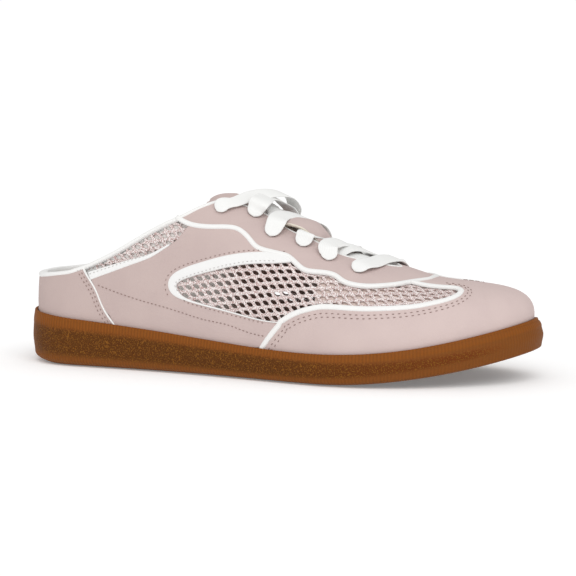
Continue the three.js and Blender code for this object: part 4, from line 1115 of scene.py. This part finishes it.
sheet[..., 2] += 1.5 * np.sin(np.pi * w) * np.clip(np.minimum(t, 7 - t), 0, 1)[:, None]
facing = np.cross(np.gradient(sheet, axis=0), np.gradient(sheet, axis=1))
facing /= np.linalg.norm(facing, axis=-1, keepdims=True)
facing *= np.sign(facing[30, 10, 2])


def sheet_wall(grid, facing, low, high):
    """Closed sheet round a grid, from low to high along its normals."""
    rows, cols = grid.shape[:2]
    loop = capped(np.concatenate([grid + facing * high, (grid + facing * low)[:, ::-1]], 1))
    uv = loop[..., :2]
    return loop.reshape(-1, 3), grid_quads(rows + 2, 2 * cols, wrap_cols=True), uv.reshape(-1, 2)


finish_piece("tongue_keeper", *sheet_wall(sheet, facing, 0.0, 0.8), material=nubuck, slot="nubuck")
edges = [sheet_wall(sheet[:, columns] + np.array([0, .15 * outward, 0]), facing[:, columns], -0.85, 0.55)
         for columns, outward in ((slice(0, 2), -1), (slice(19, 21), 1))]
cream = material("keeper_edge", (0.80, 0.74, 0.64), 0.8, 0.2)
finish_piece("keeper_lining", *sheet_wall(sheet, facing, -0.7, -0.05), material=cream, slot="nubuck")
finish_piece("keeper_cut_edges", *joined(edges), material=cream, slot="nubuck")

# Laces: one flat tubular weave, drawn down through the eyelets and left loose over the tongue.
# Every strand ends in a leaf over its eyelet, with a narrow stub down the hole.
# Parts that never show, under the eyestay and past the top eyelets, are left out.
LACE_WIDTH, LACE_THICKNESS = 8.5, 1.1
RIDGE_PITCH, PLY_PITCH = 0.75, 0.8
lace_cloth = material("lace_cloth", (0.80, 0.80, 0.785), 0.85, 0.15)
nodes, links, shader = nodes_of(lace_cloth)
lace_length, lace_across = uv_axes(nodes, links)
ridge_turns = math_node(nodes, links, "MULTIPLY", lace_across, 2 * math.pi / RIDGE_PITCH)
ply_turns = math_node(nodes, links, "MULTIPLY", lace_length, 2 * math.pi / PLY_PITCH)
ridge = math_node(nodes, links, "SINE", ridge_turns)
ply = math_node(nodes, links, "SINE", ply_turns)
weave = math_node(nodes, links, "MULTIPLY_ADD", math_node(nodes, links, "MULTIPLY", ridge, ply), 0.25, 0.5)
weave = math_node(nodes, links, "MULTIPLY_ADD", ridge, 0.35, weave)
links.new(mix_node(nodes, links, weave, (.80, .80, .785), (.87, .87, .855)), shader.inputs["Base Color"])
add_bump(nodes, links, shader, weave, 0.25, 0.0002)


def ribbon(points, widths, beside, thickness=LACE_THICKNESS, power=3.0):
    """Flat ribbon through points, each with its width and the direction of its width."""
    chord = np.concatenate([[0], np.cumsum(np.linalg.norm(np.diff(points, axis=0), axis=-1))])
    at = np.linspace(0, chord[-1], int(chord[-1] / 0.45) + 8)
    path = np.stack([natural(np.stack([chord, column], 1))(at) for column in points.T], -1)
    wide = np.interp(at, chord, widths)
    across = np.stack([np.interp(at, chord, column) for column in beside.T], -1)
    run = np.gradient(path, axis=0)
    run /= np.linalg.norm(run, axis=-1, keepdims=True)
    across -= run * (across * run).sum(-1, keepdims=True)
    across /= np.linalg.norm(across, axis=-1, keepdims=True)
    normal = np.cross(run, across)
    turn = np.linspace(0, 2 * np.pi, 20, endpoint=False)
    c = np.sign(np.cos(turn)) * np.abs(np.cos(turn)) ** (2 / power)
    s = np.sign(np.sin(turn)) * np.abs(np.sin(turn)) ** (2 / 2.2)
    section = (path[:, None] + across[:, None] * (wide[:, None] / 2 * c)[..., None]
               + normal[:, None] * (thickness / 2 * s)[None, :, None])
    section = capped(section)
    along_mm = np.concatenate([[0], at, [at[-1]]])
    uv = np.stack(np.broadcast_arrays(along_mm[:, None], (LACE_WIDTH / 2 * c)[None]), -1)
    return section.reshape(-1, 3), grid_quads(len(section), 20, wrap_cols=True), uv.reshape(-1, 2)


# Leaf over an eyelet: how far its points lie ahead of the hole and above it, and their widths.
LEAF = [(-2.8, 0.6, 0.8), (-2.2, 0.9, 4.4), (-1.1, 1.35, 6.8), (0.5, 2.0, 8.4)]


def strand(rows, first=None, last=None):
    """Strand through rows of x, y, z, width and lean, the turn of its face to the outer side in degrees.

    An end goes down into an eyelet, given as a side and a number, or stops under the eyestay.
    At an eyelet it gets the leaf's points and widths.
    """
    rows = np.array(rows, float)
    points, width = rows[:, :3], rows[:, 3]
    lean = np.radians(rows[:, 4])
    normal = np.stack([0.4 * np.cos(lean), -np.sin(lean), np.cos(lean)], -1)
    beside = np.cross(np.gradient(points, axis=0), normal)
    beside /= np.linalg.norm(beside, axis=-1, keepdims=True)
    stubs = []
    for place, inner in ((first, 0), (last, -1)):
        if place is None:
            continue
        along, up = EYELET_PLACES[place[0]][place[1] - 1]
        hole, out = last_point(along, up, place[0]), last_normal(along, up, place[0])
        climb = last_point(along, up + 0.01, place[0]) - hole
        reach = points[inner] - hole
        away = climb / np.linalg.norm(climb) + (reach - out * (reach @ out)) / 5
        away /= np.linalg.norm(away)
        leaf = np.array([hole + ahead * away + high * out for ahead, high, _ in LEAF])
        leaf_width = np.array([wide for _, _, wide in LEAF])
        if (points[inner] - leaf[3]) @ away < 1:
            points, width, beside = [np.delete(part, inner, 0) for part in (points, width, beside)]
        across = np.cross(away, out)
        across *= np.sign(across @ beside[inner])
        turning = across + (beside[inner] - across) * np.array([[0], [0], [.25], [.6]])
        stubs.append(ribbon(np.array([hole - 3.2 * out, hole - 0.6 * out, hole + 1.2 * out + 0.6 * away]),
                            np.array([2.6, 2.8, 3.0]), turning[:3]))
        if inner == 0:
            points, width = np.concatenate([leaf, points]), np.concatenate([leaf_width, width])
            beside = np.concatenate([turning, beside])
        else:
            points, width = np.concatenate([points, leaf[::-1]]), np.concatenate([width, leaf_width[::-1]])
            beside = np.concatenate([beside, turning[::-1]])
    return joined([ribbon(points, width, beside)] + stubs)
STRANDS = {
    "lace_top": [
        ([(114.6, -17.8, 83.7, 5.8, 62), (119.8, -10.0, 85.9, 7.2, 44), (126.3, -3.0, 87.4, 8.3, 26),
          (131.8, 3.0, 87.3, 8.5, 5), (135.4, 8.5, 84.8, 8.5, -25), (136.3, 12.5, 80.2, 8.5, -55),
          (133.4, 15.5, 76.2, 8.2, -70), (128.4, 14.8, 74.4, 7.8, -70)], (LATERAL, 1), (MEDIAL, 2)),
        ([(126.6, -16.4, 81.2, 9.8, 74), (127.8, -14.4, 83.4, 10.4, 60), (128.6, -9.8, 85.2, 9.8, 42),
          (128.0, -4.0, 86.0, 8.5, 20), (129.8, 1.0, 85.2, 8.5, -5), (132.2, 5.5, 82.4, 8.5, -30),
          (135.2, 10.0, 78.4, 8.4, -50), (138.0, 14.4, 72.6, 8.0, -62)], (LATERAL, 2), (MEDIAL, 3)),
        ([(119.0, 12.6, 79.6, 8.2, -62), (124.0, 7.5, 82.2, 8.4, -35), (130.0, .0, 80.2, 8.2, -5),
          (134.0, -8.0, 75.0, 7.4, 25)], (MEDIAL, 1), None),
    ],
    "lace_middle": [
        ([(138.8, -21.6, 72.6, 9.2, 76), (139.0, -19.4, 75.3, 9.8, 62), (138.8, -14.5, 77.2, 9.6, 42),
          (139.6, -8.5, 77.8, 8.5, 20), (141.6, -3.0, 77.2, 8.5, 5), (144.0, 1.5, 76.2, 8.5, -8),
          (148.2, 6.5, 73.6, 8.5, -25), (151.6, 11.5, 69.8, 8.4, -45), (153.2, 15.6, 65.6, 8.0, -60)],
         (LATERAL, 3), (MEDIAL, 4)),
    ],
    "lace_under_keeper": [
        ([(153.6, -20.4, 68.0, 9.2, 74), (153.8, -18.4, 69.6, 9.2, 58), (153.3, -14.5, 69.4, 8.0, 24),
          (154.6, -8.0, 68.2, 7.6, 8), (157.4, .0, 66.2, 7.8, -8), (161.0, 7.0, 63.6, 8.2, -25),
          (165.0, 14.0, 60.4, 8.2, -50)], (LATERAL, 4), (MEDIAL, 5)),
    ],
    "lace_front": [
        ([(166.2, -22.4, 61.4, 9.2, 74), (165.9, -19.8, 63.6, 9.8, 60), (166.3, -14.6, 65.2, 9.4, 40),
          (167.8, -8.8, 65.2, 8.5, 20), (169.4, -2.8, 63.8, 8.5, 5), (170.6, 3.5, 61.4, 8.5, -12),
          (171.4, 8.6, 58.4, 7.6, -30), (171.8, 12.6, 54.6, 6.8, -40)], (LATERAL, 5), None),
        ([(166.4, -15.8, 58.6, 7.8, 30), (169.5, -11.5, 61.6, 8.5, 24), (172.2, -6.0, 62.6, 8.5, 12),
          (175.4, .0, 61.4, 8.5, 2), (178.4, 6.0, 59.2, 8.4, -12), (181.4, 11.5, 56.4, 7.8, -25),
          (183.6, 14.6, 52.6, 7.0, -35)], None, None),
        ([(173.4, -14.0, 55.4, 7.6, 30), (176.0, -8.5, 57.6, 8.4, 15), (178.5, -3.0, 57.9, 8.5, 2),
          (180.6, 3.0, 56.3, 8.4, -5), (182.0, 8.0, 54.2, 8.0, -10)], None, None),
        ([(184.0, -21.8, 55.2, 8.2, 58), (186.0, -14.5, 56.3, 8.6, 34), (187.8, -5.0, 57.0, 8.6, 10),
          (189.7, 5.0, 56.9, 8.6, -8), (191.2, 13.5, 55.0, 8.6, -30), (190.6, 19.4, 52.6, 8.2, -45)],
         (LATERAL, 6), (MEDIAL, 6)),
    ],
}
for name, rows in STRANDS.items():
    strands = joined([strand(*row) for row in rows])
    piece = finish_piece(f"{name}_ribbon", *strands, material=lace_cloth, slot="lace")
    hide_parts(name)

# Stitches: short threads in rows beside the seams, their dark brown partly the thread's own colour and
# partly painted shade of the needle holes, and pale ones on the white tapes.
# They are sunk in the nap, at an even pitch along each seam.


def shifted(path, side, distance):
    """The path moved sideways on the surface by a distance in millimetres."""
    path = np.asarray(path, float)
    along, up = path[:, 0], path[:, 1]
    step = 1e-4
    base, normal = last_point(along, up, side), last_normal(along, up, side)
    lengthways = (last_point(along + step, up, side) - base) / step
    upwards = (last_point(along, up + step, side) - base) / step
    beside = np.cross(np.gradient(base, axis=0), normal)
    beside *= distance / np.linalg.norm(beside, axis=-1, keepdims=True)
    a, b, c = (lengthways ** 2).sum(-1), (lengthways * upwards).sum(-1), (upwards ** 2).sum(-1)
    p, q = (beside * lengthways).sum(-1), (beside * upwards).sum(-1)
    det = a * c - b * b
    return np.stack([along + (p * c - q * b) / det, up + (q * a - p * b) / det], -1)


def stitch_row(path, side, pitch, length, width=0.42, level=0.12):
    """Spindles of thread along a path: half a turn of sines by length, a turn of sines round."""
    base = last_point(path[:, 0], path[:, 1], side)
    chord = np.concatenate([[0], np.cumsum(np.linalg.norm(np.diff(base, axis=0), axis=-1))])
    middle = np.arange(pitch / 2, chord[-1], pitch)
    along = np.interp(middle, chord, path[:, 0])
    up = np.interp(middle, chord, path[:, 1])
    ahead_along = np.interp(middle + .3, chord, path[:, 0])
    ahead_up = np.interp(middle + .3, chord, path[:, 1])
    centre, normal = on_last(along, up, side, level), last_normal(along, up, side)
    run = last_point(ahead_along, ahead_up, side) - last_point(along, up, side)
    run /= np.linalg.norm(run, axis=-1, keepdims=True)
    beside = np.cross(run, normal)
    a, b = np.meshgrid(np.linspace(0, np.pi, 6), np.linspace(0, 2 * np.pi, 6, endpoint=False), indexing="ij")
    x, y, z = -np.cos(a), np.sin(a) * np.cos(b), np.sin(a) * np.sin(b)
    points = (centre[:, None, None] + run[:, None, None] * (x * length / 2)[..., None]
              + beside[:, None, None] * (y * width / 2)[..., None]
              + normal[:, None, None] * (z * .22)[..., None])
    one = grid_quads(6, 6, wrap_cols=True)
    quads = (one[None] + (np.arange(len(middle)) * 36)[:, None, None]).reshape(-1, 4)
    return points.reshape(-1, 3), quads, np.zeros((len(middle) * 36, 2))


# Partly painted shade: the brown thread is darker than its own colour, for the shade in the needle holes.
thread = material("thread", (0.26, 0.175, 0.155), 0.8, 0.2)
pale_thread = material("pale_thread", (0.50, 0.48, 0.46), 0.8, 0.2)
for side, name in ((LATERAL, "lateral"), (MEDIAL, "medial")):
    toe_path = np.concatenate([
        through(TOE_SEAM, 16)[:-1], through([row for row in NET_LOW if row[0] >= .54], 120),
        through(NET_TIP, 50)[1:22]])
    tape_path = through(WINDOW_TAPE, 110)[:, :2]
    quarter_line = through([
        (.276, .164), (.317, .137), (.359, .116), (.404, .100), (.438, .089), (.469, .089), (.498, .073),
        (.519, .069)], 60)
    seam_path = through(COUNTER_SEAM, 60)
    rear_path = through(REAR_TAPE, 60)[:, :2]
    low_path = through([row for row in NET_LOW if .41 < row[0] < .53], 40)
    rows = [
        stitch_row(shifted(toe_path, side, -3.3 * side), side, 2.9, 1.3),
        stitch_row(shifted(toe_path, side, -5.1 * side), side, 2.9, 1.3),
        stitch_row(quarter_line, side, 2.2, 1.25),
        stitch_row(shifted(tape_path, side, -3.9 * side)[6:95], side, 2.5, 1.0),
        stitch_row(shifted(low_path, side, -1.1 * side), side, 2.5, 1.0),
        stitch_row(shifted(seam_path, side, -1.7 * side), side, 2.3, 1.1),
        stitch_row(shifted(seam_path, side, -3.3 * side), side, 2.3, 1.1),
        stitch_row(shifted(rear_path, side, 3.1 * side), side, 2.3, 1.1),
    ]
    finish_piece(f"stitches_{name}", *joined(rows), material=thread, slot="nubuck")
    rows = [
        stitch_row(shifted(tape_path, side, 1.9 * side)[14:100], side, 2.2, 1.0, 0.3, 0.52),
        stitch_row(shifted(rear_path, side, .9 * side)[:42], side, 2.2, 1.0, 0.3, 0.5),
    ]
    finish_piece(f"tape_stitches_{name}", *joined(rows), material=pale_thread, slot="white_trim")
